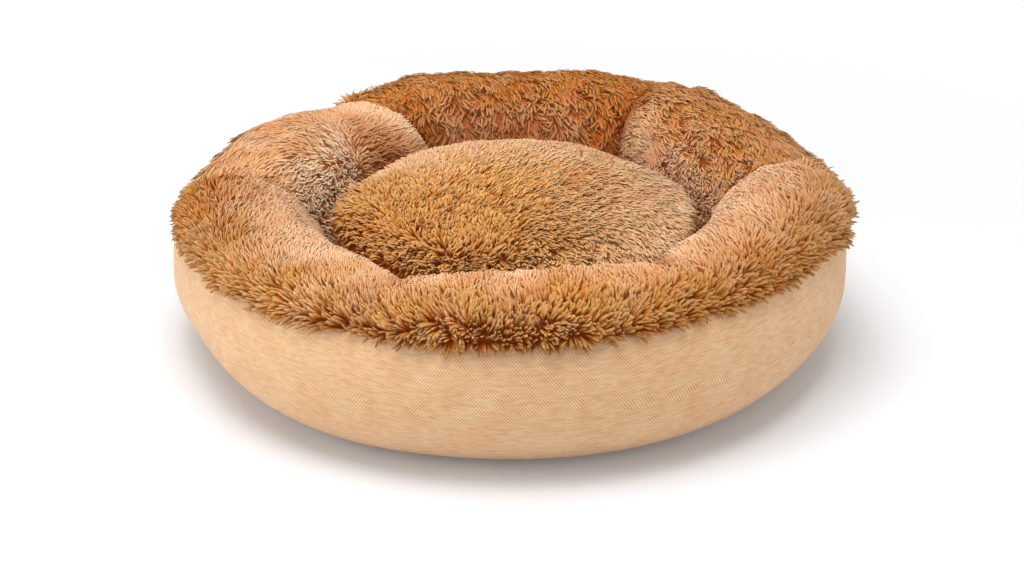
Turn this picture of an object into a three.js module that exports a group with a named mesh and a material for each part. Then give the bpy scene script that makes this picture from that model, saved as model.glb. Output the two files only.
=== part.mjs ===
// Donut pet bed: a stuffed ring with a woven side wall and six long-pile plush panels, sewn to a
// flat base, round a thick loose cushion that lifts straight out.
// Millimetres, +Z up. The origin is on the floor at the middle of the base, and the front faces -Y.
import * as THREE from "three";

const degree = Math.PI / 180;

// Cloth and pile
const clothThickness = 1.6;
const backingThickness = 1.8; // knitted backing that carries the pile
const ringPile = 9; // how far the ring's pile stands off its backing
const cushionPile = 7;
const clearance = 0.3; // between pieces that lie on each other or are sewn together
const fillingFit = 0.5; // between the loose fibre and the cloth round it

// Ring, measured to the outer face of its cloth, under the pile
const wallRadius = 251; // side wall at its fullest
const wallLean = 4; // the wall bulges this much further on its slack side
const wallLeanAngle = 185 * degree;
const throatRadius = 142; // inner wall where it bulges furthest in
const ridgeShare = 0.468; // how far out over the ring its top line lies
const fullestHeight = 56; // level of both bulges
const ringHeight = 123; // mean height of the ridge at the tucks
const ridgeTilt = 6; // the ring stands this much higher on its firmest side, and lower opposite
const ridgeTiltAngle = 45 * degree;
const rimSeamHeight = 105; // side wall to plush
const rimSeamTilt = 5;
const rimSeamTiltAngle = 20 * degree;
const hemDrop = 6; // the pile hangs this far down over the side wall
const baseRadius = 200; // where the side wall is sewn to the base panel
const innerFootSetback = 26; // the inner wall is sewn to it this far behind its own bulge

// How square the ring's section is in each quarter: 2 is an ellipse
const outerTopSquareness = 2.7;
const innerTopSquareness = 2.15;
const outerFootSquareness = 1.8;
const innerFootSquareness = 2.6;

// Panels and the tucks between them, where the seams are drawn in: right, back right, back left,
// left, front left and front right. The first panel lies between the first two seams.
const seamAngles = [5, 58, 118, 179, 246, 302].map((angle) => angle * degree);
const tuckStrengthShares = [1, 0.7, 1.3, 1, 1.3, 0.6];
const panelRises = [1, 2, -3, 1, 4, 7]; // a panel's middle stands this much above its ends
const tuckDepth = 14; // inwards from the panel's face
const tuckDip = 6; // down from the ridge
const tuckSharpness = 2.2;
const tuckStart = 50 * degree; // round the section from the side wall, where a tuck begins
const tuckFull = 130 * degree; // and where it is deepest

// Cushion, measured to the tips of its pile
const cushionHeight = 113; // top of the crown above the floor
const cushionShoulder = 97; // where the crown turns down into the side
const cushionFit = 1.2; // room between the cushion and the ring's pile
const cushionSeamHeight = 44; // plush top to underside
const cushionFootInset = 20; // the underside's flat part ends this far inside the seam
const crownRoundness = 2.6;
const cushionFootSquareness = 2.4;
const wellFloorFit = 2; // round the well's lining

// Facets
const stepsPerPanel = 8;
const wallSteps = 6;
const plushSteps = 12;
const hemSteps = 2;
const cushionTurns = 40;
const cushionSideSteps = 3;
const crownSteps = 5;
const footSteps = 3;
const discTurns = 60;

// Radii and levels that follow from these
const ridgeRadius = throatRadius + ridgeShare * (wallRadius - throatRadius);
const innerFootRadius = throatRadius + innerFootSetback;
const ringFoot = clothThickness + clearance; // the ring's cloth stands on the base panel
const wellFloorTop = ringFoot + clothThickness;
const cushionFoot = wellFloorTop + clearance;

const panelCount = seamAngles.length;
const panels = seamAngles.map((_, panel) => panel);
const seamAfter = (panel) => seamAngles[(panel + 1) % panelCount] + (panel === panelCount - 1 ? 2 * Math.PI : 0);

// The panel at an angle, and the share of its width that lies before the angle.
function placeOnPanel(theta) {
  const first = seamAngles[0];
  const turned = first + THREE.MathUtils.euclideanModulo(theta - first, 2 * Math.PI);
  const panel = seamAngles.findLastIndex((seam) => seam <= turned);
  return [panel, THREE.MathUtils.inverseLerp(seamAngles[panel], seamAfter(panel), turned)];
}

// How strongly the tucks pull at an angle: a tuck's own strength at its seam, and nothing at the
// middle of a panel.
function tuckPull(theta) {
  const [panel, share] = placeOnPanel(theta);
  const strength = tuckStrengthShares[(panel + Math.round(share)) % panelCount];
  return strength * Math.pow(1 - Math.sin(Math.PI * share), tuckSharpness);
}

function ridgeHeightAt(theta) {
  const [panel, share] = placeOnPanel(theta);
  const lobe = panelRises[panel] * Math.sin(Math.PI * share);
  return ringHeight + ridgeTilt * Math.cos(theta - ridgeTiltAngle) + lobe;
}

const wallRadiusAt = (theta) => wallRadius + wallLean * Math.cos(theta - wallLeanAngle);
const rimSeamAt = (theta) => rimSeamHeight + rimSeamTilt * Math.cos(theta - rimSeamTiltAngle);

// A quarter of the section is a superellipse. These give one share of its size from a turn, and
// from the other share.
const shareAtTurn = (value, squareness) => Math.pow(Math.abs(value), 2 / squareness);
const shareAcross = (share, squareness) => Math.pow(1 - Math.pow(share, squareness), 1 / squareness);

// A point of the ring's section, as (radius, height). The turn runs from the side wall, 0, over the
// ridge, a quarter turn, to the inner wall, a half turn, and the feet are a quarter turn below both.
// Grow is how far the point stands off the cloth's outer face, below zero for inside it.
function sectionPoint(theta, turn, grow) {
  const inside = Math.cos(turn) < 0;
  const above = Math.sin(turn) > 0;
  const pull = tuckPull(theta) * THREE.MathUtils.smoothstep(turn, tuckStart, tuckFull);
  const footRadius = inside ? innerFootRadius : baseRadius;
  const middle = above ? ridgeRadius : footRadius;
  const across = inside ? middle - throatRadius - tuckDepth * pull : wallRadiusAt(theta) - middle;
  const up = above ? ridgeHeightAt(theta) - tuckDip * pull - fullestHeight : fullestHeight - ringFoot;
  const topSquareness = inside ? innerTopSquareness : outerTopSquareness;
  const footSquareness = inside ? innerFootSquareness : outerFootSquareness;
  const squareness = above ? topSquareness : footSquareness;
  const growUp = above ? grow : Math.min(grow, 0);
  const x = (across + grow) * shareAtTurn(Math.cos(turn), squareness);
  const z = (up + growUp) * shareAtTurn(Math.sin(turn), squareness);
  return new THREE.Vector2(middle + (inside ? -x : x), fullestHeight + (above ? z : -z));
}

// The turn at which the side wall's cloth is at a height above its fullest level.
function turnAtHeight(theta, height) {
  const share = (height - fullestHeight) / (ridgeHeightAt(theta) - fullestHeight);
  return Math.asin(Math.pow(share, outerTopSquareness / 2));
}

const plushSeamTurn = (theta) => turnAtHeight(theta, rimSeamAt(theta) + clearance);

// Evenly spaced turns along a stretch of the section.
function chain(theta, from, to, steps, grow) {
  return Array.from({ length: steps + 1 }, (_, i) => {
    return sectionPoint(theta, THREE.MathUtils.lerp(from, to, i / steps), grow);
  });
}

const wallFootTurn = -Math.PI / 2;
const innerFootTurn = (3 * Math.PI) / 2;

// The angles of a panel's facets, closer together at its two tucks.
function panelAngles(panel, gap) {
  const start = seamAngles[panel] + gap / 2;
  const end = seamAfter(panel) - gap / 2;
  return Array.from({ length: stepsPerPanel + 1 }, (_, i) => {
    const step = i / stepsPerPanel;
    return THREE.MathUtils.lerp(start, end, (step + 2 * THREE.MathUtils.smoothstep(step, 0, 1)) / 3);
  });
}

const ringAngles = panels.flatMap((panel) => panelAngles(panel, 0).slice(0, -1));
const cushionAngles = Array.from({ length: cushionTurns }, (_, i) => (2 * Math.PI * i) / cushionTurns);

// The ring's inner wall at a height, to the tips of its pile, where the ring is narrowest: under its
// highest ridge.
function innerWallRadius(height) {
  const highest = Math.max(...ringAngles.map(ridgeHeightAt)) + ringPile;
  if (height > fullestHeight) {
    const share = (height - fullestHeight) / (highest - fullestHeight);
    return ridgeRadius - (ridgeRadius - throatRadius + ringPile) * shareAcross(share, innerTopSquareness);
  }
  const share = (fullestHeight - height) / (fullestHeight - ringFoot);
  const reach = innerFootRadius - throatRadius + ringPile;
  return innerFootRadius - reach * shareAcross(share, innerFootSquareness);
}

// The cushion's side follows the inner wall above its fullest level, and passes it below.
const cushionRadiusAt = (height) => innerWallRadius(Math.max(height, fullestHeight)) - cushionFit;
const cushionFootRadius = cushionRadiusAt(cushionSeamHeight) - cushionFootInset;

// A solid between two skins that run round the vertical axis. Each skin gives its (radius, height)
// points at an angle, both in the direction that is anticlockwise for the outer one, with the radius
// to the right. Closed runs all the way round, and otherwise flat faces end it. Points on the axis
// are the same at all angles. Both skins' facets are split the same way, so that the skins of two
// pieces can lie evenly inside each other.
function sweep(outerAt, innerAt, angles, closed) {
  const loops = angles.map((theta) => [...outerAt(theta), ...innerAt(theta).reverse()]);
  const outerCount = outerAt(angles[0]).length;
  const positions = [];
  const faces = [];
  const rings = [];
  loops.forEach((loop, a) => {
    const ring = loop.map((point, i) => {
      if (point.x === 0 && a > 0) return rings[0][i];
      positions.push(point.x * Math.cos(angles[a]), point.x * Math.sin(angles[a]), point.y);
      return positions.length / 3 - 1;
    });
    rings.push(ring);
  });
  const addFace = (a, b, c) => {
    if (a !== b && b !== c && c !== a) faces.push(a, b, c);
  };
  rings.forEach((ring, a) => {
    if (!closed && a === rings.length - 1) return;
    const next = rings[(a + 1) % rings.length];
    ring.forEach((here, i) => {
      const j = (i + 1) % ring.length;
      const outer = i < outerCount;
      addFace(here, next[i], outer ? next[j] : ring[j]);
      addFace(outer ? here : next[i], next[j], ring[j]);
    });
  });
  if (!closed) {
    const last = rings.length - 1;
    THREE.ShapeUtils.triangulateShape(loops[0], []).forEach(([a, b, c]) => {
      addFace(rings[0][a], rings[0][b], rings[0][c]);
    });
    THREE.ShapeUtils.triangulateShape(loops[last], []).forEach(([a, b, c]) => {
      addFace(rings[last][a], rings[last][c], rings[last][b]);
    });
  }
  const geometry = new THREE.BufferGeometry();
  geometry.setAttribute("position", new THREE.Float32BufferAttribute(positions, 3));
  geometry.setIndex(faces);
  geometry.computeVertexNormals();
  return geometry;
}

// A round disc of cloth that lies flat.
function clothDisc(radius, bottom) {
  const top = bottom + clothThickness;
  const profile = [
    new THREE.Vector2(0, bottom),
    new THREE.Vector2(radius, bottom),
    new THREE.Vector2(radius, top),
    new THREE.Vector2(0, top),
  ];
  return new THREE.LatheGeometry(profile, discTurns).rotateX(Math.PI / 2);
}

// The side wall: woven cloth from the base panel's edge up to the rim seam.
function sideWall() {
  const skin = (grow) => (theta) => {
    return chain(theta, wallFootTurn, turnAtHeight(theta, rimSeamAt(theta)), wallSteps, grow);
  };
  return sweep(skin(0), skin(-clothThickness), ringAngles, true);
}

// One plush panel, over the ridge and down the inner wall to its foot. Its pile hangs over the rim
// seam, clear of the side wall.
function plushPanel(panel) {
  const hemTurn = (theta) => turnAtHeight(theta, rimSeamAt(theta) - hemDrop);
  const pile = (theta) => chain(theta, hemTurn(theta), innerFootTurn, plushSteps, ringPile);
  const backing = (theta) => {
    const seam = plushSeamTurn(theta);
    const underPile = chain(theta, hemTurn(theta), seam, hemSteps, clearance);
    return [...underPile, ...chain(theta, seam, innerFootTurn, plushSteps, -backingThickness)];
  };
  return sweep(pile, backing, panelAngles(panel, clearance / throatRadius), false);
}

// The ring's fibre, which fills its cloth from the base panel up.
function ringFilling() {
  const inset = -(backingThickness + fillingFit);
  const skin = (theta) => {
    const behindWall = chain(theta, wallFootTurn, turnAtHeight(theta, rimSeamAt(theta)), wallSteps, inset);
    const underPlush = chain(theta, plushSeamTurn(theta), innerFootTurn, plushSteps, inset);
    return [...behindWall, ...underPlush];
  };
  const base = [
    new THREE.Vector2(baseRadius - fillingFit, ringFoot),
    new THREE.Vector2(innerFootRadius + fillingFit, ringFoot),
  ];
  return sweep(skin, () => [...base], ringAngles, true);
}

// The skin of the cushion's plush, from its seam up the side and over the crown to the axis.
function cushionTopSkin(inset) {
  const side = Array.from({ length: cushionSideSteps }, (_, i) => {
    const bottom = cushionSeamHeight + clearance;
    const height = THREE.MathUtils.lerp(bottom, cushionShoulder, i / cushionSideSteps);
    return new THREE.Vector2(cushionRadiusAt(height) - inset, height);
  });
  const reach = cushionRadiusAt(cushionShoulder) - inset;
  const rise = cushionHeight - cushionShoulder - inset;
  const crown = Array.from({ length: crownSteps }, (_, i) => {
    const turn = (Math.PI / 2) * (i / crownSteps);
    const radius = reach * shareAtTurn(Math.cos(turn), crownRoundness);
    return new THREE.Vector2(radius, cushionShoulder + rise * shareAtTurn(Math.sin(turn), crownRoundness));
  });
  return [...side, ...crown, new THREE.Vector2(0, cushionShoulder + rise)];
}

// The skin of its underside, from the axis out and up to the seam.
function cushionFootSkin(inset) {
  const across = cushionRadiusAt(cushionSeamHeight) - cushionFootRadius - inset;
  const down = cushionSeamHeight - cushionFoot - inset;
  const side = Array.from({ length: footSteps + 1 }, (_, i) => {
    const turn = (Math.PI / 2) * (i / footSteps);
    const radius = cushionFootRadius + across * shareAtTurn(Math.sin(turn), cushionFootSquareness);
    const share = i === footSteps ? 0 : shareAtTurn(Math.cos(turn), cushionFootSquareness);
    return new THREE.Vector2(radius, cushionSeamHeight - down * share);
  });
  return [new THREE.Vector2(0, cushionSeamHeight - down), ...side];
}

function cushionTop() {
  const thickness = cushionPile + backingThickness;
  return sweep(() => cushionTopSkin(0), () => cushionTopSkin(thickness), cushionAngles, true);
}

function cushionUnderside() {
  return sweep(() => cushionFootSkin(0), () => cushionFootSkin(clothThickness), cushionAngles, true);
}

function cushionFilling() {
  const foot = cushionFootSkin(clothThickness + fillingFit);
  const top = cushionTopSkin(cushionPile + backingThickness + fillingFit);
  return sweep(() => [...foot, ...top], () => [], cushionAngles, true);
}

// Materials
const wovenCloth = new THREE.MeshStandardMaterial({ color: 0xe3bd91, roughness: 0.9, metalness: 0 });
const longPlush = new THREE.MeshStandardMaterial({ color: 0xbd8148, roughness: 0.95, metalness: 0 });
const nonSlipCloth = new THREE.MeshStandardMaterial({ color: 0xd8c3a5, roughness: 0.8, metalness: 0 });
const liningCloth = new THREE.MeshStandardMaterial({ color: 0xdcc09a, roughness: 0.9, metalness: 0 });
const looseFibre = new THREE.MeshStandardMaterial({ color: 0xf3f1ec, roughness: 1, metalness: 0 });

const bed = new THREE.Group();
const cushion = new THREE.Group();
const donutBed = new THREE.Group();
donutBed.add(bed, cushion);

function add(parent, name, geometry, material) {
  const mesh = new THREE.Mesh(geometry, material);
  mesh.name = name;
  parent.add(mesh);
}

add(bed, "base_panel", clothDisc(baseRadius, 0), nonSlipCloth);
add(bed, "side_wall", sideWall(), wovenCloth);
panels.forEach((panel) => add(bed, `plush_panel_${panel + 1}`, plushPanel(panel), longPlush));
add(bed, "ring_filling", ringFilling(), looseFibre);
add(bed, "well_floor", clothDisc(innerWallRadius(wellFloorTop) - wellFloorFit, ringFoot), liningCloth);
add(cushion, "cushion_top", cushionTop(), longPlush);
add(cushion, "cushion_underside", cushionUnderside(), liningCloth);
add(cushion, "cushion_filling", cushionFilling(), looseFibre);

export default donutBed;
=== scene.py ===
import math

import bpy
import numpy as np
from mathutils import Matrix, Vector, noise


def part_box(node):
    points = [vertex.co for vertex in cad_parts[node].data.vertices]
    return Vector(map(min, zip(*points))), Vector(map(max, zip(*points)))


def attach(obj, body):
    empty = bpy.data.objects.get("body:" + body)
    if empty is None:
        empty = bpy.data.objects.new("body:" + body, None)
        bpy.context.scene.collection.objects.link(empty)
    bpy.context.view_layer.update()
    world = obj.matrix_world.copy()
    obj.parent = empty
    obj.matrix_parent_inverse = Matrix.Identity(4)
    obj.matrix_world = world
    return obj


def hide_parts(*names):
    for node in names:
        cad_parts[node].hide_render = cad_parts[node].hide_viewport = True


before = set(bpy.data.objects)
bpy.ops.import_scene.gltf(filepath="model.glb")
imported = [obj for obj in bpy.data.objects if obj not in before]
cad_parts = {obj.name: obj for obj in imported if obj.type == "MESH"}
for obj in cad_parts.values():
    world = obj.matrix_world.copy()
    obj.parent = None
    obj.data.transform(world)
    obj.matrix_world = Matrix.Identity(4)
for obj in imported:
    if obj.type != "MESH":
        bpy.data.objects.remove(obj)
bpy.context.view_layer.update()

baseLow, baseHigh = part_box("base_panel")
mm = (baseHigh.x - baseLow.x) / 400  # the base panel is 400 mm across
print("frame loaded, with", len(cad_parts), "nodes")


# Small tools

def linearColour(hexColour):
    channels = [int(hexColour[i:i + 2], 16) / 255 for i in (1, 3, 5)]
    linear = [c / 12.92 if c <= 0.04045 else ((c + 0.055) / 1.055) ** 2.4 for c in channels]
    return (*linear, 1)


# Adds a node. Where a link's value is a node, the first of its outputs in use is linked.
def addNode(tree, kind, settings={}, links={}):
    node = tree.nodes.new(kind)
    for name, value in settings.items():
        setattr(node, name, value)
    for socket, value in links.items():
        if isinstance(value, bpy.types.Node):
            value = next(output for output in value.outputs if output.enabled)
        if isinstance(value, bpy.types.NodeSocket):
            tree.links.new(value, node.inputs[socket])
        else:
            node.inputs[socket].default_value = value
    return node


# The nodes that are used most, each with its setting
plus, minus, times, dividedBy, timesPlus = (("ShaderNodeMath", {"operation": operation}) for operation in (
    "ADD", "SUBTRACT", "MULTIPLY", "DIVIDE", "MULTIPLY_ADD"))
vectorPlus, vectorMinus, vectorTimes, scaledBy = (
    ("ShaderNodeVectorMath", {"operation": operation}) for operation in (
        "ADD", "SUBTRACT", "MULTIPLY", "SCALE"))
colourMix = ("ShaderNodeMix", {"data_type": "RGBA"})


# Gives a ramp its colour stops, each a place and a hex colour.
def setStops(ramp, stops):
    elements = ramp.color_ramp.elements
    while len(elements) < len(stops):
        elements.new(0.5)
    for element, (place, hexColour) in zip(elements, stops):
        element.position = place
        element.color = linearColour(hexColour)
    return ramp


def smoothStep(value, low, high):
    share = np.clip((value - low) / (high - low), 0, 1)
    return share * share * (3 - 2 * share)


# Smooth noise from -1 to 1 at points, with patches of a size.
def noiseAt(points, size, seed):
    shift = Vector((seed * 3.1, seed * 7.7, seed * 1.3))
    return np.array([noise.noise(Vector(p) / size + shift) for p in points])


# Patches of noise added up, each with its strength, size and seed.
def patchesAt(points, patches):
    return sum(strength * noiseAt(points, size, seed) for strength, size, seed in patches)


def unit(vectors):
    return vectors / np.maximum(np.linalg.norm(vectors, axis=-1, keepdims=True), 1e-12)


def makePiece(name, vertices, faces, attributes={}):
    mesh = bpy.data.meshes.new(name)
    mesh.from_pydata([tuple(v) for v in vertices], [], [tuple(int(i) for i in f) for f in faces])
    for label, values in attributes.items():
        values = np.asarray(values, np.float32)
        kind = "FLOAT_VECTOR" if values.ndim == 2 else "FLOAT"
        padded = np.zeros((len(vertices), *values.shape[1:]), np.float32)
        padded[:len(values)] = values
        attribute = mesh.attributes.new(label, kind, "POINT")
        attribute.data.foreach_set("vector" if values.ndim == 2 else "value", padded.ravel())
    mesh.shade_smooth()
    piece = bpy.data.objects.new(name, mesh)
    bpy.context.scene.collection.objects.link(piece)
    return piece


# Vertices and faces of a closed shell between two grids of points, outer points first. With a pole,
# the last column is one point.
def shell(outer, inner, around, pole=False):
    rows, columns = outer.shape[:2]
    kept = columns - pole
    sides = [np.concatenate([side[:, :kept].reshape(-1, 3), side[:1, kept:].reshape(-1, 3)])
             for side in (outer, inner)]
    faces = []

    # A face from its corners: row, column and side. Corners that are one point at the pole count once.
    def face(*corners):
        spots = [side * len(sides[0]) + (rows * kept if j == kept else (i % rows) * kept + j)
                 for i, j, side in corners]
        faces.append(tuple(dict.fromkeys(spots)))

    for i in range(rows if around else rows - 1):
        for j in range(columns - 1):
            face((i, j, 0), (i + 1, j, 0), (i + 1, j + 1, 0), (i, j + 1, 0))
            face((i, j, 1), (i, j + 1, 1), (i + 1, j + 1, 1), (i + 1, j, 1))
        face((i, 0, 0), (i, 0, 1), (i + 1, 0, 1), (i + 1, 0, 0))
        if not pole:
            last = columns - 1
            face((i + 1, last, 0), (i + 1, last, 1), (i, last, 1), (i, last, 0))
    if not around:
        for j in range(columns - 1):
            face((0, j, 0), (0, j + 1, 0), (0, j + 1, 1), (0, j, 1))
            face((rows - 1, j, 0), (rows - 1, j, 1), (rows - 1, j + 1, 1), (rows - 1, j + 1, 0))
    return np.concatenate(sides), faces


# The piece rides on a body and stands for CAD nodes, which are hidden.
def settle(piece, body, slot, *nodes):
    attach(piece, body)
    if nodes:
        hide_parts(*nodes)


def newMaterial(name):
    material = bpy.data.materials.new(name)
    material.use_nodes = True
    material.node_tree.nodes.clear()
    return material, material.node_tree


# Runs a Geometry Nodes tree on a piece and leaves its result as a plain mesh.
def applyTree(piece, tree, settings):
    modifier = piece.modifiers.new(tree.name, "NODES")
    modifier.node_group = tree
    for item in tree.interface.items_tree:
        if item.in_out == "INPUT" and item.name in settings:
            modifier[item.identifier] = settings[item.name]
    graph = bpy.context.evaluated_depsgraph_get()
    mesh = bpy.data.meshes.new_from_object(
        piece.evaluated_get(graph), preserve_all_data_layers=True, depsgraph=graph)
    bare = piece.data
    piece.modifiers.remove(modifier)
    piece.data = mesh
    bpy.data.meshes.remove(bare)
    mesh.name = piece.name
    mesh.shade_smooth()


# A tree with named inputs, and what it is given.
def newGeometryTree(name, inputs):
    tree = bpy.data.node_groups.new(name, "GeometryNodeTree")
    for way in ("INPUT", "OUTPUT"):
        tree.interface.new_socket("Geometry", in_out=way, socket_type="NodeSocketGeometry")
    for label, kind, value in inputs:
        socket = tree.interface.new_socket(label, in_out="INPUT", socket_type="NodeSocket" + kind)
        if value is not None:
            socket.default_value = value
    return tree, addNode(tree, "NodeGroupInput").outputs


# Camera, floor and light

view = {
    "elevation": 24.3,  # degrees above the floor
    "distance": 1.6,
    "target": (-2.2 * mm, 0, 33 * mm),
    "lens": 74.53, "sensor": 36, "nearest": 0.05,
    "floorBlend": (0.9, 0.02),  # how much of the floor's own shading shows, near the bed and far off
    "floorFade": (0.3, 0.8),
    "floorPaint": "#DCDDDF",
    "floorReach": 6.0,
    "sky": 0.54,
    # place, size and power of each lamp
    "lamps": {"keyLamp": ((-0.18, -0.25, 1.95), 1.4, 41),
              "leftFillLamp": ((-1.5, -0.7, 0.6), 1.0, 10.5),
              "rightFillLamp": ((1.5, -0.7, 0.6), 1.0, 4.5)},
}


def makeCamera():
    camera = bpy.data.objects.new("camera", bpy.data.cameras.new("camera"))
    bpy.context.scene.collection.objects.link(camera)
    bpy.context.scene.camera = camera
    rise = math.radians(view["elevation"])
    back = Vector((0, -math.cos(rise), math.sin(rise)))
    camera.location = Vector(view["target"]) + back * view["distance"]
    camera.rotation_euler = (-back).to_track_quat("-Z", "Y").to_euler()
    camera.data.lens = view["lens"]
    camera.data.sensor_width = view["sensor"]
    camera.data.clip_start = view["nearest"]


# One for rays that show the background: from the camera, mirrored or let through.
def seenRays(tree):
    path = addNode(tree, "ShaderNodeLightPath").outputs
    seen = path["Is Camera Ray"]
    for kind in ("Is Glossy Ray", "Is Transmission Ray"):
        seen = addNode(tree, "ShaderNodeMath", {"operation": "MAXIMUM"}, {0: seen, 1: path[kind]})
    return seen


def makeWorld():
    world = bpy.data.worlds.new("softbox")
    world.use_nodes = True
    bpy.context.scene.world = world
    tree = world.node_tree
    tree.nodes.clear()
    light, seen = (addNode(tree, "ShaderNodeBackground", links={
        "Color": linearColour("#FFFFFF"), "Strength": strength}) for strength in (view["sky"], 1.0))
    mixed = addNode(tree, "ShaderNodeMixShader", links={0: seenRays(tree), 1: light, 2: seen})
    addNode(tree, "ShaderNodeOutputWorld", links={"Surface": mixed})


def makeFloor():
    # Matt studio paint near the bed, where it takes the shadow, which fades to plain white far off.
    material, tree = newMaterial("mattStudioPaint")
    paint = addNode(tree, "ShaderNodeBsdfDiffuse", links={"Color": linearColour(view["floorPaint"])})
    glow = addNode(tree, "ShaderNodeEmission", links={"Color": linearColour("#FFFFFF"), "Strength": 1.0})
    spot = addNode(tree, "ShaderNodeTexCoord").outputs["Object"]
    away = addNode(tree, "ShaderNodeVectorMath", {"operation": "LENGTH"}, {0: spot})
    near, far = view["floorFade"]
    blendNear, blendFar = view["floorBlend"]
    fade = addNode(tree, "ShaderNodeMapRange", {"interpolation_type": "SMOOTHSTEP"}, {
        0: away, 1: near, 2: far, 3: 1 - blendNear, 4: 1 - blendFar})
    share = addNode(tree, *times, {0: seenRays(tree), 1: fade})
    mixed = addNode(tree, "ShaderNodeMixShader", links={0: share, 1: paint, 2: glow})
    addNode(tree, "ShaderNodeOutputMaterial", links={"Surface": mixed})
    reach = view["floorReach"]
    corners = [(-reach, -reach, 0), (reach, -reach, 0), (reach, reach, 0), (-reach, reach, 0)]
    floor = makePiece("studioFloor", corners, [(0, 1, 2, 3)])
    floor.data.materials.append(material)


def makeLamp(name, place, size, power):
    lamp = bpy.data.lights.new(name, "AREA")
    lamp.size = size
    lamp.energy = power
    holder = bpy.data.objects.new(name, lamp)
    bpy.context.scene.collection.objects.link(holder)
    holder.location = place
    holder.rotation_euler = Vector(place).to_track_quat("Z", "Y").to_euler()


bpy.context.scene.view_settings.view_transform = "Standard"
makeCamera()
makeWorld()
makeFloor()
for name, (place, size, power) in view["lamps"].items():
    makeLamp(name, place, size, power)
print("camera, floor and light made")


# The ring's section, in millimetres and degrees, as the CAD part has it. A turn runs from the side
# wall, 0, over the ridge, 90, down the inner wall, 180, to its foot, 270.

ring = {
    "wallRadius": 251, "wallLean": 4, "wallLeanAngle": 185,
    "ridgeRadius": 193, "throatRadius": 142, "fullestHeight": 56,
    "ringHeight": 123, "ridgeTilt": 6, "ridgeTiltAngle": 45,
    "rimSeamHeight": 105, "rimSeamTilt": 5, "rimSeamTiltAngle": 20,
    "baseRadius": 200, "innerFootRadius": 168, "footHeight": 1.9,
    "outerTop": 2.7, "innerTop": 2.15, "outerFoot": 1.8, "innerFoot": 2.6,
    "tuckDepth": 14, "tuckDip": 6, "tuckStart": 50, "tuckFull": 130,
    "seams": [5, 58, 118, 179, 246, 302],
    "slants": [-2.2, 0, -5.5, 0, 0, 0],  # degrees that a seam slants by, for each 45 of turn
    "slantTurn": (60, 200), "slantMiddle": 135,
    "strengths": [1.1, 0.8, 1.5, 1.3, 1.3, 0.6],
    # how sharply a panel turns down into the seam before it and the seam after it
    "sharpness": [(1.6, 3.5), (2.2, 1.6), (7, 1.5), (7, 2.0), (2.2, 2.2), (2.2, 7)],
    # where the stuffing differs: angle, width, then more height, wall and foot
    "bumps": [(20, 13, -4, 0, 0), (50, 9, 6, 0, 0), (112, 9, 5, 0, 0), (131, 9, -5, 0, 0),
              (150, 12, 6, 2, 0), (72, 8, 5, 0, 0), (203, 15, 0, -6, -15), (240, 14, 0, 0, 5),
              (330, 24, 0, -4, -9), (2, 9, -5, 0, 0)],
    "rises": [1, 2, -3, 1, 4, 7],  # how much more each panel rises in its middle
    "cloth": 1.6, "backing": 1.8,
}


# A seam's angle at a turn. The sixth is the first again, a full circle on.
def seamAngle(index, turn):
    lap, index = divmod(index, 6)
    slant = ring["slants"][index] * (np.clip(turn, *ring["slantTurn"]) - ring["slantMiddle"]) / 45
    return ring["seams"][index] + slant + 360 * lap


# The panel at each angle, and the share of its width before the angle.
def placeOnPanel(theta):
    turned = (theta - ring["seams"][0]) % 360 + ring["seams"][0]
    ends = np.array([*ring["seams"], ring["seams"][0] + 360])
    panel = np.clip(np.searchsorted(ends, turned, side="right") - 1, 0, 5)
    return panel, (turned - ends[panel]) / (ends[panel + 1] - ends[panel])


def bumpAt(theta, kind):
    total = 0
    for bump in ring["bumps"]:
        apart = (theta - bump[0] + 180) % 360 - 180
        total = total + bump[kind] * np.exp(-(apart / bump[1]) ** 2)
    return total


def ridgeAt(theta, panel, share):
    lobe = np.array(ring["rises"])[panel] * np.sin(np.pi * np.clip(share, 0, 1))
    tilt = ring["ridgeTilt"] * np.cos(np.radians(theta - ring["ridgeTiltAngle"]))
    return ring["ringHeight"] + lobe + tilt + bumpAt(theta, 2)


def outerFootAt(theta):
    return ring["baseRadius"] + bumpAt(theta, 4)


# Points of the ring's section, in metres. All values are arrays of one shape.
def sectionPoint(theta, turn, grow, panel, share):
    cosTurn, sinTurn = np.cos(np.radians(turn)), np.sin(np.radians(turn))
    inside, above = cosTurn < 0, sinTurn > 0
    half = np.round(share).astype(int)
    strength = np.array(ring["strengths"])[(panel + half) % 6]
    sharpness = np.array(ring["sharpness"])[panel, half]
    pull = strength * (1 - np.sin(np.pi * np.clip(share, 0, 1))) ** sharpness
    pull = pull * smoothStep(turn, ring["tuckStart"], ring["tuckFull"])
    ridge = ridgeAt(theta, panel, share)
    wall = ring["wallRadius"] + ring["wallLean"] * np.cos(np.radians(theta - ring["wallLeanAngle"]))
    wall = wall + bumpAt(theta, 3)
    foot = np.where(inside, ring["innerFootRadius"], outerFootAt(theta))
    middle = np.where(above, ring["ridgeRadius"], foot)
    across = np.where(inside, middle - ring["throatRadius"] - ring["tuckDepth"] * pull, wall - middle)
    up = np.where(above, ridge - ring["tuckDip"] * pull - ring["fullestHeight"],
                  ring["fullestHeight"] - ring["footHeight"])
    squareness = np.where(above, np.where(inside, ring["innerTop"], ring["outerTop"]),
                          np.where(inside, ring["innerFoot"], ring["outerFoot"]))
    x = (across + grow) * np.abs(cosTurn) ** (2 / squareness)
    z = (up + np.where(above, grow, np.minimum(grow, 0))) * np.abs(sinTurn) ** (2 / squareness)
    radius = middle + np.where(inside, -x, x)
    height = ring["fullestHeight"] + np.where(above, z, -z)
    angle = np.radians(theta)
    return np.stack([radius * np.cos(angle), radius * np.sin(angle), height], -1) * mm


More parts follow.
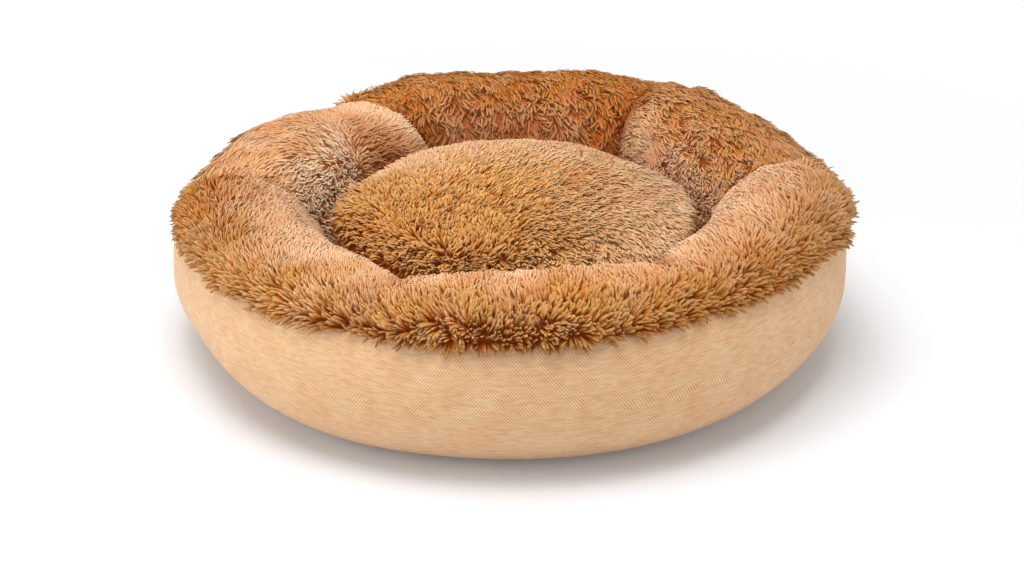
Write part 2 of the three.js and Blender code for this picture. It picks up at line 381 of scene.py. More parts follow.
def turnAtHeight(theta, height):
    ridge = ridgeAt(theta, *placeOnPanel(theta))
    up = (height - ring["fullestHeight"]) / (ridge - ring["fullestHeight"])
    return np.degrees(np.arcsin(np.clip(up, 0, 1) ** (ring["outerTop"] / 2)))


def rimSeam(theta):
    return ring["rimSeamHeight"] + ring["rimSeamTilt"] * np.cos(np.radians(theta - ring["rimSeamTiltAngle"]))


# Long plush: polyester pile, knitted into a backing and brushed into pointed locks. Its colour carries
# painted light and shade: each lock darkens towards its red-brown root as painted shade between the locks,
# and where the combed tips catch the light they are painted as a pinkish bloom, a painted sheen.

plush = {
    # each ramp runs from a lock's root to its tip: darker at the root, painted shade between the locks, and
    # lighter at the tip, a painted highlight
    "golden": [(0, "#9A3E0C"), (0.3, "#B25410"), (0.65, "#C88A40"), (1, "#D0A570")],
    # colour of the painted glow in the gaps of golden pile, and further down of pale pile
    "goldenGapGlow": "#A4480F",
    "pale": [(0, "#BE6A30"), (0.3, "#D89E72"), (0.65, "#D6BB9E"), (1, "#D4C4B2")],
    "paleGapGlow": "#DE9864",
    "nap": 0.65, "softNap": 0.28,  # how far a lock is shaded as the whole nap, and a soft one more
    "roughness": 0.8, "specular": 0.06,
    "sheen": 0.05, "sheenRoughness": 0.5, "sheenTint": "#FFDCC2",
    "streaks": (14, 2, 90),  # fibres seen across a lock, along it, and how far locks differ
    "streakDepth": 0.3,
    "middle": 0.62, "calming": 0.7,  # a soft lock takes colours nearer its ramp's middle, by this share, so its painted shade and highlight are weaker
    "uneven": 0.24,  # how far locks differ in lightness, and how much darker they are painted at a clump's edge, as shade between the clumps
    "shadeTint": (0.4, 0.18, 0.1),  # what is left of each channel where the nap is painted in full shade
    "patchSize": 26 * mm,
    "patches": [(0.36, "#FFF5EF"), (0.5, "#FFFFFF"), (0.64, "#FCFBEF")],  # faintly pink and olive
    "relief": 0.4 * mm, "reliefStrength": 0.35, "softRelief": -0.25,
    # strength of the painted glow: at the roots, more where soft pile is pale, and at the tips
    "rootGlow": 0.19, "paleRootGlow": 1.4, "tipGlow": 0.06,
}


def plushMaterial(name, settings):
    material, tree = newMaterial(name)
    carried = {label: addNode(tree, "ShaderNodeAttribute", {"attribute_name": label}).outputs["Fac"]
               for label in ("along", "around", "pale", "dark", "soft", "lockRandom", "clumpEdge")}
    along, soft, pale, chance = (carried[label] for label in ("along", "soft", "pale", "lockRandom"))
    place = addNode(tree, "ShaderNodeCombineXYZ", links={0: carried["around"], 1: along, 2: chance})
    place = addNode(tree, *vectorTimes, {0: place, 1: settings["streaks"]})
    streak = addNode(tree, "ShaderNodeTexNoise", links={"Vector": place, "Scale": 1.0, "Detail": 1.0})
    depth = addNode(tree, *timesPlus, {0: streak, 1: settings["streakDepth"], 2: along})
    depth = addNode(tree, *minus, {0: depth, 1: settings["streakDepth"] / 2 + settings["middle"]})
    crisp = addNode(tree, *timesPlus, {0: soft, 1: -settings["calming"], 2: 1.0})
    depth = addNode(tree, *timesPlus, {0: depth, 1: crisp, 2: settings["middle"]})
    goldenNap, paleNap = (setStops(addNode(tree, "ShaderNodeValToRGB", links={0: depth}), settings[key])
                          for key in ("golden", "pale"))
    # the pale share is a painted sheen, pinkish where the combed nap catches the light, with random patches
    # of tone
    colour = addNode(tree, *colourMix, {0: pale, 6: goldenNap, 7: paleNap})
    # painted shade: the skin's darkness share dims and reddens the nap where it lies in shade, and a share
    # below zero paints it lighter
    shade = addNode(tree, "ShaderNodeMapRange", {"data_type": "FLOAT_VECTOR", "clamp": False}, {
        "Vector": carried["dark"], 9: (1, 1, 1), 10: settings["shadeTint"]})
    spot = addNode(tree, "ShaderNodeTexCoord").outputs["Object"]
    patch = addNode(tree, "ShaderNodeTexNoise", links={
        "Vector": spot, "Scale": 1 / settings["patchSize"], "Detail": 1.0})
    tint = setStops(addNode(tree, "ShaderNodeValToRGB", links={0: patch}), settings["patches"])
    for layer in (shade, tint):
        colour = addNode(tree, *vectorTimes, {0: colour, 1: layer})
    # painted shade between the clumps: a lock is darker near its clump's edge
    uneven = addNode(tree, *minus, {0: chance, 1: carried["clumpEdge"]})
    uneven = addNode(tree, *timesPlus, {0: uneven, 1: settings["uneven"], 2: -settings["uneven"] / 2})
    light = addNode(tree, *timesPlus, {0: uneven, 1: crisp, 2: 1.0})
    colour = addNode(tree, *scaledBy, {0: colour, "Scale": light})
    facing = addNode(tree, "ShaderNodeNewGeometry").outputs["Normal"]
    nap = addNode(tree, "ShaderNodeAttribute", {"attribute_name": "napNormal"}).outputs["Vector"]
    share = addNode(tree, *timesPlus, {0: soft, 1: settings["softNap"], 2: settings["nap"]})
    facing = addNode(tree, "ShaderNodeMix", {"data_type": "VECTOR"}, {0: share, 4: facing, 5: nap})
    strength = addNode(tree, *timesPlus, {
        0: soft, 1: settings["softRelief"], 2: settings["reliefStrength"]})
    bump = addNode(tree, "ShaderNodeBump", links={
        "Height": streak, "Distance": settings["relief"], "Strength": strength,
        "Normal": addNode(tree, "ShaderNodeVectorMath", {"operation": "NORMALIZE"}, {0: facing})})
    # Painted light: the plush glows, warm at the roots and faint at the tips, standing in for light that goes
    # in between the fibres and comes back, so the gaps stay brown.
    glowStrength = addNode(tree, *times, {0: soft, 1: pale})
    glowStrength = addNode(tree, *timesPlus, {
        0: glowStrength, 1: settings["paleRootGlow"] * settings["rootGlow"], 2: settings["rootGlow"]})
    glowStrength = addNode(tree, "ShaderNodeMapRange", links={0: along, 3: glowStrength, 4: settings["tipGlow"]})
    warm = addNode(tree, *colourMix, {
        0: pale, 6: linearColour(settings["goldenGapGlow"]), 7: linearColour(settings["paleGapGlow"])})
    warm = addNode(tree, *vectorTimes, {0: warm, 1: shade})
    material.cycles.emission_sampling = "NONE"
    shader = addNode(tree, "ShaderNodeBsdfPrincipled", links={
        "Base Color": colour, "Normal": bump, "Emission Color": warm, "Emission Strength": glowStrength,
        "Roughness": settings["roughness"], "Specular IOR Level": settings["specular"],
        "Sheen Weight": settings["sheen"], "Sheen Roughness": settings["sheenRoughness"],
        "Sheen Tint": linearColour(settings["sheenTint"])})
    addNode(tree, "ShaderNodeOutputMaterial", links={"Surface": shader})
    return material


# Knitted polyester backing: dull brown between the roots of the pile. Under soft pile it is painted paler, to
# lift the shade in the gaps there, and all of it has the plush's painted glow at the roots.

backing = {
    # the knit's own loop colours, and the paler colour painted under soft pile to lift the shade in its gaps
    "loopSize": 1.2 * mm, "loops": [(0, "#A04E16"), (1, "#7E3A0C")], "soft": "#DC9A64",
    "roughness": 0.95,
}


def backingMaterial():
    material, tree = newMaterial("knittedPolyesterBacking")
    spot = addNode(tree, "ShaderNodeTexCoord").outputs["Object"]
    loops = addNode(tree, "ShaderNodeTexVoronoi", links={"Vector": spot, "Scale": 1 / backing["loopSize"]})
    deep = setStops(addNode(tree, "ShaderNodeValToRGB", links={0: loops}), backing["loops"])
    soft = addNode(tree, "ShaderNodeAttribute", {"attribute_name": "soft"}).outputs["Fac"]
    colour = addNode(tree, *colourMix, {0: soft, 6: deep, 7: linearColour(backing["soft"])})
    material.cycles.emission_sampling = "NONE"
    # painted light: it glows as faintly as the plush's roots
    shader = addNode(tree, "ShaderNodeBsdfPrincipled", links={
        "Base Color": colour, "Emission Color": colour, "Emission Strength": plush["rootGlow"],
        "Roughness": backing["roughness"]})
    addNode(tree, "ShaderNodeOutputMaterial", links={"Surface": shader})
    return material


# the cushion's shorter pile has its own ramp, also darker at the root as painted shade
shortGolden = [(0, "#A4460A"), (0.3, "#C0681A"), (0.65, "#DAA558"), (1, "#DEBA88")]
longPlushMaterial = plushMaterial("brushedPolyesterLongPlush", plush)
shortPlushMaterial = plushMaterial("brushedPolyesterShortPlush", {**plush, "golden": shortGolden})
knitBacking = backingMaterial()


# One lock of pile: a closed three-sided shoot, 1 long and 1 wide, which leans a little to one side.

lockShapes = {
    "sides": 3,
    "widths": [(0.03, 0.85), (0.48, 1), (0.86, 0.84)],  # place along the lock, and its width there
    "bends": [-0.16, -0.05, 0.07, 0.18],  # how far the tip of each lock lies aside
    "waves": [0.05, -0.06, 0.04, -0.05],
}


def makeLockShape(name, bend, wave):
    sides, widths = lockShapes["sides"], lockShapes["widths"]
    points, along, around = [(0, 0, 0)], [0], [0]

    def centre(place):
        return bend * place * place + wave * math.sin(place * 2 * math.pi), 0

    for place, width in widths:
        for k in range(sides):
            angle = 2 * math.pi * k / sides
            x, y = centre(place)
            points.append((x + 0.5 * width * math.cos(angle), y + 0.5 * width * math.sin(angle), place))
            along.append(place)
            around.append(k / sides)
    points.append((*centre(1), 1))
    along.append(1)
    around.append(0)
    faces = []
    tip = len(points) - 1
    for k in range(sides):
        after = (k + 1) % sides
        faces.append((0, 1 + after, 1 + k))
        for r in range(len(widths) - 1):
            low, high = 1 + r * sides, 1 + (r + 1) * sides
            faces.append((low + k, low + after, high + after, high + k))
        last = 1 + (len(widths) - 1) * sides
        faces.append((last + k, last + after, tip))
    shape = makePiece(name, points, faces, {"along": along, "around": around})
    bpy.context.scene.collection.objects.unlink(shape)
    return shape


def makeLocks(name):
    collection = bpy.data.collections.new(name)
    for i, (bend, wave) in enumerate(zip(lockShapes["bends"], lockShapes["waves"])):
        collection.objects.link(makeLockShape(f"{name}{i}", bend, wave))
    return collection


locks = makeLocks("lock")


# Geometry Nodes that plant locks on a skin. The skin carries how they are combed: comb, lift,
# lockLength, lockWidth, slack, density, gather, mess, pale, dark and soft.

pileInputs = [
    ("Lock Shapes", "Collection", None),
    ("Locks Per Square Metre", "Float", 1e5),
    ("Least Spacing", "Float", 2 * mm),
    ("Clump Size", "Float", 11 * mm),
    ("Clump Pull", "Float", 0.5),
    ("Clump Turn", "Float", 1.8),
    ("Clump Lift", "Float", 0.6),
    ("Arch", "Float", 0.12),
    ("Droop", "Float", 0.22),
    ("Sway", "Float", 4 * mm),
    ("Sway Size", "Float", 9 * mm),
    ("Curl", "Float", 1.6 * mm),
    ("Curl Size", "Float", 5 * mm),
    ("Curl Mess", "Float", 0.9),
    ("Least Curl", "Float", 0.5),
    ("Tousle", "Float", 0.8),
    ("Least Tousle", "Float", 0.35),
    ("Flatness", "Float", 0.62),
    ("Change When Soft", "Float", -0.6),
    ("Seed", "Int", 1),
    ("Pile", "Material", None),
]

# Least, most and seed of each random draw for a lock
draws = {"lockRandom": (0.0, 1.0, 11), "turn": (-0.5, 0.5, 12), "lift": (-0.22, 0.26, 13),
         "width": (0.75, 1.25, 14), "length": (0.7, 1.2, 15)}


def buildPileTree():
    tree, given = newGeometryTree("plantPile", pileInputs)
    kinds = {"FLOAT": ("density", "gather", "soft", "mess", "lift", "lockWidth", "lockLength", "along",
                       "slack"),
             "FLOAT_VECTOR": ("root", "napNormal", "comb", "clumpPlace")}
    named = {label: addNode(tree, "GeometryNodeInputNamedAttribute", {"data_type": kind}, {"Name": label})
             for kind, labels in kinds.items() for label in labels}
    drawn = {label: addNode(tree, "FunctionNodeRandomValue", {"data_type": "FLOAT"}, {
        2: least, 3: most, "Seed": seed}) for label, (least, most, seed) in draws.items()}
    place = addNode(tree, "GeometryNodeInputPosition")
    spread = addNode(tree, "GeometryNodeDistributePointsOnFaces", {"distribute_method": "POISSON"}, {
        "Mesh": given["Geometry"], "Distance Min": given["Least Spacing"],
        "Density Max": given["Locks Per Square Metre"], "Density Factor": named["density"],
        "Seed": given["Seed"]})
    perClump = addNode(tree, *dividedBy, {0: 1.0, 1: given["Clump Size"]})
    spot = addNode(tree, *scaledBy, {0: named["root"], "Scale": perClump})
    cell = addNode(tree, "ShaderNodeTexVoronoi", links={"Vector": spot, "Scale": 1.0})
    clumpPlace = addNode(tree, *scaledBy, {0: cell.outputs["Position"], "Scale": given["Clump Size"]})
    # how near a clump's edge a lock stands, for the painted shade between clumps
    clumpEdge = addNode(tree, *times, {0: cell, 1: named["gather"]})
    points = spread
    for label, kind, value in (("root", "FLOAT_VECTOR", place),
                               ("napNormal", "FLOAT_VECTOR", spread.outputs["Normal"]),
                               ("lockRandom", "FLOAT", drawn["lockRandom"]),
                               ("clumpPlace", "FLOAT_VECTOR", clumpPlace),
                               ("clumpEdge", "FLOAT", clumpEdge)):
        points = addNode(tree, "GeometryNodeStoreNamedAttribute", {"data_type": kind, "domain": "POINT"}, {
            "Geometry": points, "Name": label, "Value": value})

    # how each lock leans
    clumpChance = addNode(tree, "ShaderNodeSeparateXYZ", links={0: cell.outputs["Color"]}).outputs
    turn = addNode(tree, *minus, {0: clumpChance[0], 1: 0.5})
    turn = addNode(tree, *timesPlus, {0: turn, 1: given["Clump Turn"], 2: drawn["turn"]})
    turn = addNode(tree, *times, {0: turn, 1: named["mess"]})
    heading = addNode(tree, "ShaderNodeVectorRotate", {"rotation_type": "AXIS_ANGLE"}, {
        "Vector": named["comb"], "Axis": named["napNormal"], "Angle": turn})
    calm = addNode(tree, "ShaderNodeMath", {"operation": "MAXIMUM"}, {0: named["soft"], 1: 0.0})
    calm = addNode(tree, *timesPlus, {0: calm, 1: given["Change When Soft"], 2: 1.0})
    tousle = addNode(tree, *timesPlus, {0: named["mess"], 1: given["Tousle"], 2: given["Least Tousle"]})
    tousle = addNode(tree, *times, {0: tousle, 1: calm})
    lift = addNode(tree, *timesPlus, {0: drawn["lift"], 1: tousle, 2: named["lift"]})
    clumpLift = addNode(tree, *minus, {0: clumpChance[1], 1: 0.5})
    clumpLift = addNode(tree, *times, {0: clumpLift, 1: given["Clump Lift"]})
    lift = addNode(tree, *timesPlus, {0: clumpLift, 1: named["gather"], 2: lift})
    leans = [addNode(tree, *scaledBy, {
        0: way, "Scale": addNode(tree, "ShaderNodeMath", {"operation": share}, {0: lift})})
        for way, share in ((heading, "COSINE"), (named["napNormal"], "SINE"))]
    direction = addNode(tree, *vectorPlus, {0: leans[0], 1: leans[1]})
    direction = addNode(tree, "ShaderNodeVectorMath", {"operation": "NORMALIZE"}, {0: direction})
    upright = addNode(tree, "FunctionNodeAlignRotationToVector", {"axis": "Z"}, {"Vector": direction})
    rolled = addNode(tree, "FunctionNodeAlignRotationToVector", {"axis": "Y", "pivot_axis": "Z"}, {
        "Rotation": upright, "Vector": named["napNormal"]})

    # its size, and the shape that it takes
    width, length = (addNode(tree, *times, {0: named[label], 1: drawn[draw]})
                     for label, draw in (("lockWidth", "width"), ("lockLength", "length")))
    thickness = addNode(tree, *times, {0: width, 1: given["Flatness"]})
    thickness = addNode(tree, *times, {0: thickness, 1: calm})
    size = addNode(tree, "ShaderNodeCombineXYZ", links={0: width, 1: thickness, 2: length})
    shapes = addNode(tree, "GeometryNodeCollectionInfo", links={
        "Collection": given["Lock Shapes"], "Separate Children": True, "Reset Children": True})
    pick = addNode(tree, "FunctionNodeRandomValue", {"data_type": "INT"}, {
        4: 0, 5: len(lockShapes["bends"]) - 1, "Seed": 16})
    planted = addNode(tree, "GeometryNodeInstanceOnPoints", links={
        "Points": points, "Instance": shapes, "Pick Instance": True, "Instance Index": pick,
        "Rotation": rolled, "Scale": size})
    planted = addNode(tree, "GeometryNodeRealizeInstances", links={0: planted})

    # how it bends along its length: up, then down, towards its clump and to and fro
    along = named["along"]
    squared = addNode(tree, *times, {0: along, 1: along})
    hump = addNode(tree, *times, {0: along, 1: math.pi})
    hump = addNode(tree, "ShaderNodeMath", {"operation": "SINE"}, {0: hump})
    archBy, droopBy = (addNode(tree, *times, {
        0: addNode(tree, *times, {0: rise, 1: named["lockLength"]}), 1: given[label]})
        for rise, label in ((hump, "Arch"), (squared, "Droop")))
    droopBy = addNode(tree, *times, {0: droopBy, 1: named["slack"]})
    bend = addNode(tree, *minus, {0: archBy, 1: droopBy})
    bent = addNode(tree, *scaledBy, {0: named["napNormal"], "Scale": bend})
    pull = addNode(tree, *vectorMinus, {0: named["clumpPlace"], 1: named["root"]})
    pullShare = addNode(tree, *times, {0: squared, 1: named["gather"]})
    pullShare = addNode(tree, *times, {0: pullShare, 1: given["Clump Pull"]})
    pull = addNode(tree, *scaledBy, {0: pull, "Scale": pullShare})
    curlShare = addNode(tree, *timesPlus, {0: named["mess"], 1: given["Curl Mess"], 2: given["Least Curl"]})
    curlShare = addNode(tree, *times, {
        0: addNode(tree, *times, {0: along, 1: calm}), 1: curlShare})
    wanders = []
    for spot, label, share in ((named["root"], "Sway", squared), (place, "Curl", curlShare)):
        perPatch = addNode(tree, *dividedBy, {0: 1.0, 1: given[label + " Size"]})
        spot = addNode(tree, *scaledBy, {0: spot, "Scale": perPatch})
        field = addNode(tree, "ShaderNodeTexNoise", links={"Vector": spot, "Scale": 1.0, "Detail": 0.0})
        centred = addNode(tree, *vectorMinus, {0: field.outputs["Color"], 1: (0.5, 0.5, 0.5)})
        reach = addNode(tree, *times, {0: share, 1: given[label]})
        wanders.append(addNode(tree, *scaledBy, {0: centred, "Scale": reach}))
    swayed, curled = wanders
    aside = addNode(tree, *vectorPlus, {0: pull, 1: swayed})
    sunkBy = addNode(tree, "ShaderNodeVectorMath", {"operation": "DOT_PRODUCT"}, {
        0: aside, 1: named["napNormal"]})
    sunk = addNode(tree, *scaledBy, {0: named["napNormal"], "Scale": sunkBy})
    aside = addNode(tree, *vectorMinus, {0: aside, 1: sunk})
    offset = addNode(tree, *vectorPlus, {0: bent, 1: curled})
    offset = addNode(tree, *vectorPlus, {0: offset, 1: aside})
    planted = addNode(tree, "GeometryNodeSetPosition", links={"Geometry": planted, "Offset": offset})
    planted = addNode(tree, "GeometryNodeSetMaterial", links={"Geometry": planted, "Material": given["Pile"]})
    whole = addNode(tree, "GeometryNodeJoinGeometry", links={0: given["Geometry"]})
    tree.links.new(planted.outputs[0], whole.inputs[0])
    addNode(tree, "NodeGroupOutput", links={0: whole})
    return tree


pileTree = buildPileTree()


# Plants pile on a skin, and leaves out what only the planting needed.
def plantPile(skin, settings):
    applyTree(skin, pileTree, settings)
    carried = skin.data.attributes
    for spare in ("root", "clumpPlace", "comb", "lift", "density", "mess", "lockLength", "lockWidth",
                  "slack", "gather"):
        carried.remove(carried[spare])


# How the ring's pile is combed, spot by spot: angle round the ring and turn round its section, then
# heading (0 down the inner wall, 90 anticlockwise, 180 towards the hem), lift off the backing, all in
# degrees, length and width in millimetres, and shares of paleness, darkness and mess. Paleness is a
# painted sheen, darkness is painted shade, and below zero painted light. The hem falls over the side
# wall, and above a parting the pile stands and is combed up to the ridge.

ringCombing = [
    # front
    (250, 42, 192, 14, 11, 2.4, 0, 0.12, 0.5), (262, 42, 180, 14, 11, 2.4, 0, 0.1, 0.5),
    (274, 42, 172, 14, 11, 2.4, 0, 0.1, 0.5), (288, 42, 165, 14, 11, 2.4, 0, 0.1, 0.5),
    (300, 42, 160, 14, 11, 2.4, 0, 0.1, 0.5), (250, 52, 340, 56, 12, 2.5, 0, 0.14, 0.55),
    (268, 52, 5, 56, 12, 2.5, 0, 0.14, 0.55), (286, 52, 25, 62, 12, 2.5, 0, 0.14, 0.55),
    (299, 52, 40, 62, 12, 2.5, 0, 0.14, 0.55), (248, 70, 338, 46, 13, 2.2, 0.2, 0, 0.3),
    (262, 70, 345, 48, 13, 2.2, 0.05, 0, 0.45), (276, 70, 10, 48, 13, 2.2, 0.05, 0, 0.45),
    (291, 70, 20, 46, 13, 2.2, 0.1, 0, 0.45), (250, 84, 340, 30, 12, 1.6, 0.62, 0, 0.2),
    (270, 84, 0, 30, 12, 1.6, 0.52, 0, 0.2), (292, 84, 15, 30, 12, 1.6, 0.52, 0, 0.2),
    (250, 105, 350, 21, 12, 1.25, 0.98, 0, 0.15), (270, 105, 0, 21, 12, 1.25, 0.98, 0, 0.15),
    (292, 105, 10, 21, 12, 1.25, 0.93, 0, 0.15), (252, 132, 0, 27, 10, 1.2, 1, 0, 0.12),
    (272, 132, 0, 27, 10, 1.2, 1, 0, 0.12), (292, 132, 0, 27, 10, 1.2, 0.95, 0, 0.12),
    # right front
    (310, 42, 150, 14, 11, 2.3, 0, 0.26, 0.5), (326, 42, 150, 14, 11, 2.3, 0, 0.21, 0.5),
    (342, 42, 160, 34, 19, 2.3, 0.1, 0.2, 0.5), (358, 42, 170, 34, 18, 1.83, 0.2, 0.2, 0.4),
    (312, 52, 40, 72, 12, 2.3, 0, 0.16, 0.5), (330, 52, 50, 70, 12, 2.3, 0.1, 0.16, 0.5),
    (346, 52, 60, 50, 17, 2.3, 0.3, 0.16, 0.4), (2, 57, 150, 32, 16, 1.71, 0.3, 0.12, 0.35),
    (308, 72, 20, 46, 12, 1.75, 0.25, 0, 0.45), (324, 72, 45, 50, 12, 1.75, 0.35, 0, 0.4),
    (340, 72, 55, 52, 14, 1.75, 0.45, 0.17, 0.3), (356, 72, 70, 44, 14, 1.75, 0.5, 0.12, 0.3),
    (308, 92, 15, 27, 12, 1.3, 0.75, 0, 0.25), (326, 92, 35, 33, 11, 1.3, 0.65, 0, 0.25),
    (344, 92, 50, 35, 11, 1.3, 0.65, 0.05, 0.3), (0, 92, 70, 27, 11, 1.3, 0.8, 0, 0.3),
    (312, 115, 10, 25, 10, 1.2, 0.95, 0, 0.15), (332, 115, 25, 27, 10, 1.2, 0.8, 0, 0.15),
    (352, 115, 45, 25, 10, 1.2, 0.95, 0, 0.2), (315, 138, 0, 27, 9, 1.2, 1, 0, 0.12),
    (340, 138, 10, 27, 9, 1.2, 1, 0, 0.12), (0, 138, 30, 32, 9, 1.2, 1, 0, 0.15),
    # right back
    (12, 45, 170, 26, 14, 1.5, 0.2, -0.15, 0.4), (30, 45, 180, 26, 14, 1.5, 0.1, -0.15, 0.4),
    (48, 45, 180, 26, 14, 1.5, 0.1, -0.15, 0.4), (14, 70, 235, 20, 12, 1.4, 0.4, 0, 0.18),
    (34, 70, 245, 20, 12, 1.4, 0.35, 0, 0.18), (52, 70, 250, 20, 12, 1.4, 0.3, 0, 0.18),
    (14, 88, 255, 18, 12, 1.5, 0.2, 0.05, 0.45), (32, 88, 262, 18, 12, 1.5, 0.15, 0.05, 0.45),
    (50, 88, 265, 18, 12, 1.5, 0.15, 0.05, 0.45), (14, 112, 270, 18, 12, 1.55, 0.05, 0.15, 0.85),
    (32, 112, 272, 18, 12, 1.55, 0.1, 0.1, 0.85), (48, 112, 275, 18, 12, 1.55, 0.2, 0.05, 0.85),
    (14, 132, 285, 20, 11, 1.55, 0.35, 0.1, 1.2), (32, 132, 288, 20, 11, 1.55, 0.4, 0.1, 1.2),
    (50, 132, 290, 22, 13, 1.4, 0.7, 0, 0.4), (14, 155, 300, 30, 9, 1.6, 0.75, 0.05, 1.4),
    (32, 155, 300, 28, 9, 1.6, 0.75, 0.1, 1.4), (50, 155, 290, 26, 12, 1.4, 0.6, 0.2, 0.8),
    # rear
    (66, 45, 180, 24, 14, 1.5, 0.1, -0.2, 0.4), (88, 45, 180, 24, 14, 1.5, 0.1, -0.2, 0.4),
    (110, 45, 180, 24, 14, 1.5, 0.1, -0.2, 0.4), (66, 74, 235, 26, 11, 1.6, 0.15, 0, 0.15),
    (88, 74, 255, 26, 11, 1.6, 0.15, 0, 0.15), (108, 74, 270, 26, 11, 1.6, 0.2, 0, 0.15),
    (64, 94, 290, 15, 11, 1.75, 0, 0.17, 0.4), (80, 94, 325, 15, 11, 1.75, 0, 0.17, 0.4),
    (96, 94, 345, 15, 11, 1.75, 0, 0.17, 0.4), (111, 94, 10, 15, 11, 1.75, 0, 0.12, 0.4),
    (66, 113, 310, 18, 13, 2.3, 0, 0.27, 1), (84, 113, 330, 18, 13, 2.3, 0, 0.27, 1),
    (100, 113, 350, 18, 13, 2.3, 0, 0.27, 1), (112, 113, 40, 18, 13, 2.3, 0.1, 0.22, 1),
    (66, 132, 330, 18, 13, 2.3, 0.15, 0.3, 1), (84, 132, 345, 18, 13, 2.3, 0.45, 0.5, 1),
    (100, 132, 0, 18, 13, 2.3, 0.4, 0.5, 1), (112, 132, 20, 18, 13, 2.3, 0.3, 0.3, 1),
    (68, 155, 350, 20, 15, 1.5, 0.3, 0.4, 0.5), (88, 155, 0, 18, 16, 1.5, 0.3, 0.5, 0.4),
    (106, 155, 15, 20, 15, 1.5, 0.5, 0.3, 0.4),
    # left back
    (126, 45, 170, 22, 13, 1.4, 0.5, -0.2, 0.3), (148, 45, 150, 22, 13, 1.5, 0.2, -0.3, 0.35),
    (170, 45, 170, 20, 11, 1.6, 0.05, -0.35, 0.5), (124, 68, 150, 5, 7, 1.3, 1, 0, 0.05),
    (140, 68, 115, 7, 9, 1.4, 0.84, 0, 0.12), (156, 68, 105, 10, 13, 1.5, 0.54, 0, 0.2),
    (171, 68, 110, 10, 15, 1.6, 0.39, 0.05, 0.2), (124, 88, 255, 9, 8, 1.3, 1, 0, 0.05),
    (138, 88, 230, 18, 13, 1.35, 0.6, 0, 0.15), (154, 88, 150, 20, 13, 1.5, 0.61, 0.05, 0.15),
    (170, 88, 115, 26, 13, 1.6, 0.51, 0.05, 0.15), (124, 108, 262, 22, 14, 1.3, 0.8, 0, 0.25),
    (138, 108, 250, 24, 14, 1.4, 0.5, 0.05, 0.2), (154, 108, 180, 20, 12, 1.45, 0.37, 0.05, 0.2),
    (170, 108, 100, 24, 12, 1.5, 0.4, 0, 0.2), (122, 130, 275, 24, 14, 1.4, 0.7, 0.05, 0.3),
    (134, 130, 265, 30, 14, 1.5, 0.4, 0.2, 0.8), (148, 130, 150, 28, 11, 1.35, 1, -0.35, 1.1),
    (166, 130, 90, 30, 11, 1.4, 1, -0.35, 1.1), (141, 140, 250, 50, 15, 1.6, 0.05, 0.6, 1.2),
    (137, 151, 285, 45, 14, 1.9, 0, 0.6, 0.5), (122, 155, 290, 30, 15, 1.6, 0.2, 0.3, 0.5),
    (134, 155, 310, 40, 15, 1.6, 0.05, 0.5, 0.7), (148, 155, 50, 48, 8, 1.7, 1, -0.35, 1.6),
    (166, 155, 50, 48, 8, 1.7, 1, -0.35, 1.6),
    # left front
    (186, 42, 165, 20, 11, 1.95, 0, 0.35, 0.6), (200, 42, 190, 18, 13, 2.2, 0, 0.3, 0.5),
    (216, 42, 200, 18, 13, 2.2, 0, 0.05, 0.5), (234, 42, 208, 18, 13, 2.2, 0, 0.05, 0.5),
    (186, 57, 290, 36, 12, 1.95, 0, 0.27, 0.5), (202, 52, 320, 62, 13, 2.3, 0, 0.15, 0.5),
    (218, 52, 320, 62, 13, 2.3, 0, 0.15, 0.5), (236, 52, 315, 62, 13, 2.3, 0, 0.15, 0.5),
    (186, 72, 285, 38, 15, 1.95, 0.1, 0.22, 0.6), (204, 72, 310, 46, 13, 1.8, 0.25, 0.12, 0.4),
    (220, 72, 318, 46, 13, 1.8, 0.5, 0, 0.3), (238, 72, 325, 46, 13, 1.8, 0.35, 0, 0.35),
    (188, 92, 300, 25, 13, 1.4, 0.5, 0, 0.3), (206, 92, 315, 25, 12, 1.3, 0.8, 0, 0.2),
    (224, 92, 322, 25, 12, 1.3, 0.8, 0, 0.2), (240, 92, 330, 25, 12, 1.3, 0.7, 0, 0.2),
    (190, 112, 320, 28, 11, 1.25, 0.9, 0, 0.15), (212, 112, 330, 30, 11, 1.25, 0.95, 0, 0.15),
    (234, 112, 340, 32, 11, 1.25, 0.95, 0, 0.15), (190, 135, 340, 26, 9, 1.2, 1, 0, 0.12),
    (214, 135, 345, 23, 9, 1.2, 1, 0, 0.12), (238, 135, 350, 25, 9, 1.2, 1, 0, 0.12),
]

ringPile = {
    "Lock Shapes": locks,
    "Locks Per Square Metre": 6.4e5,
    "Least Spacing": 0.75 * mm,
    "Clump Size": 7 * mm,
    "Clump Pull": 0.55,
    "Arch": 0.14,
    "Droop": 0.3,
    "Sway": 6 * mm,
    "Sway Size": 9 * mm,
    "Curl": 2.2 * mm,
    "Curl Size": 4.5 * mm,
    "Pile": longPlushMaterial,
}

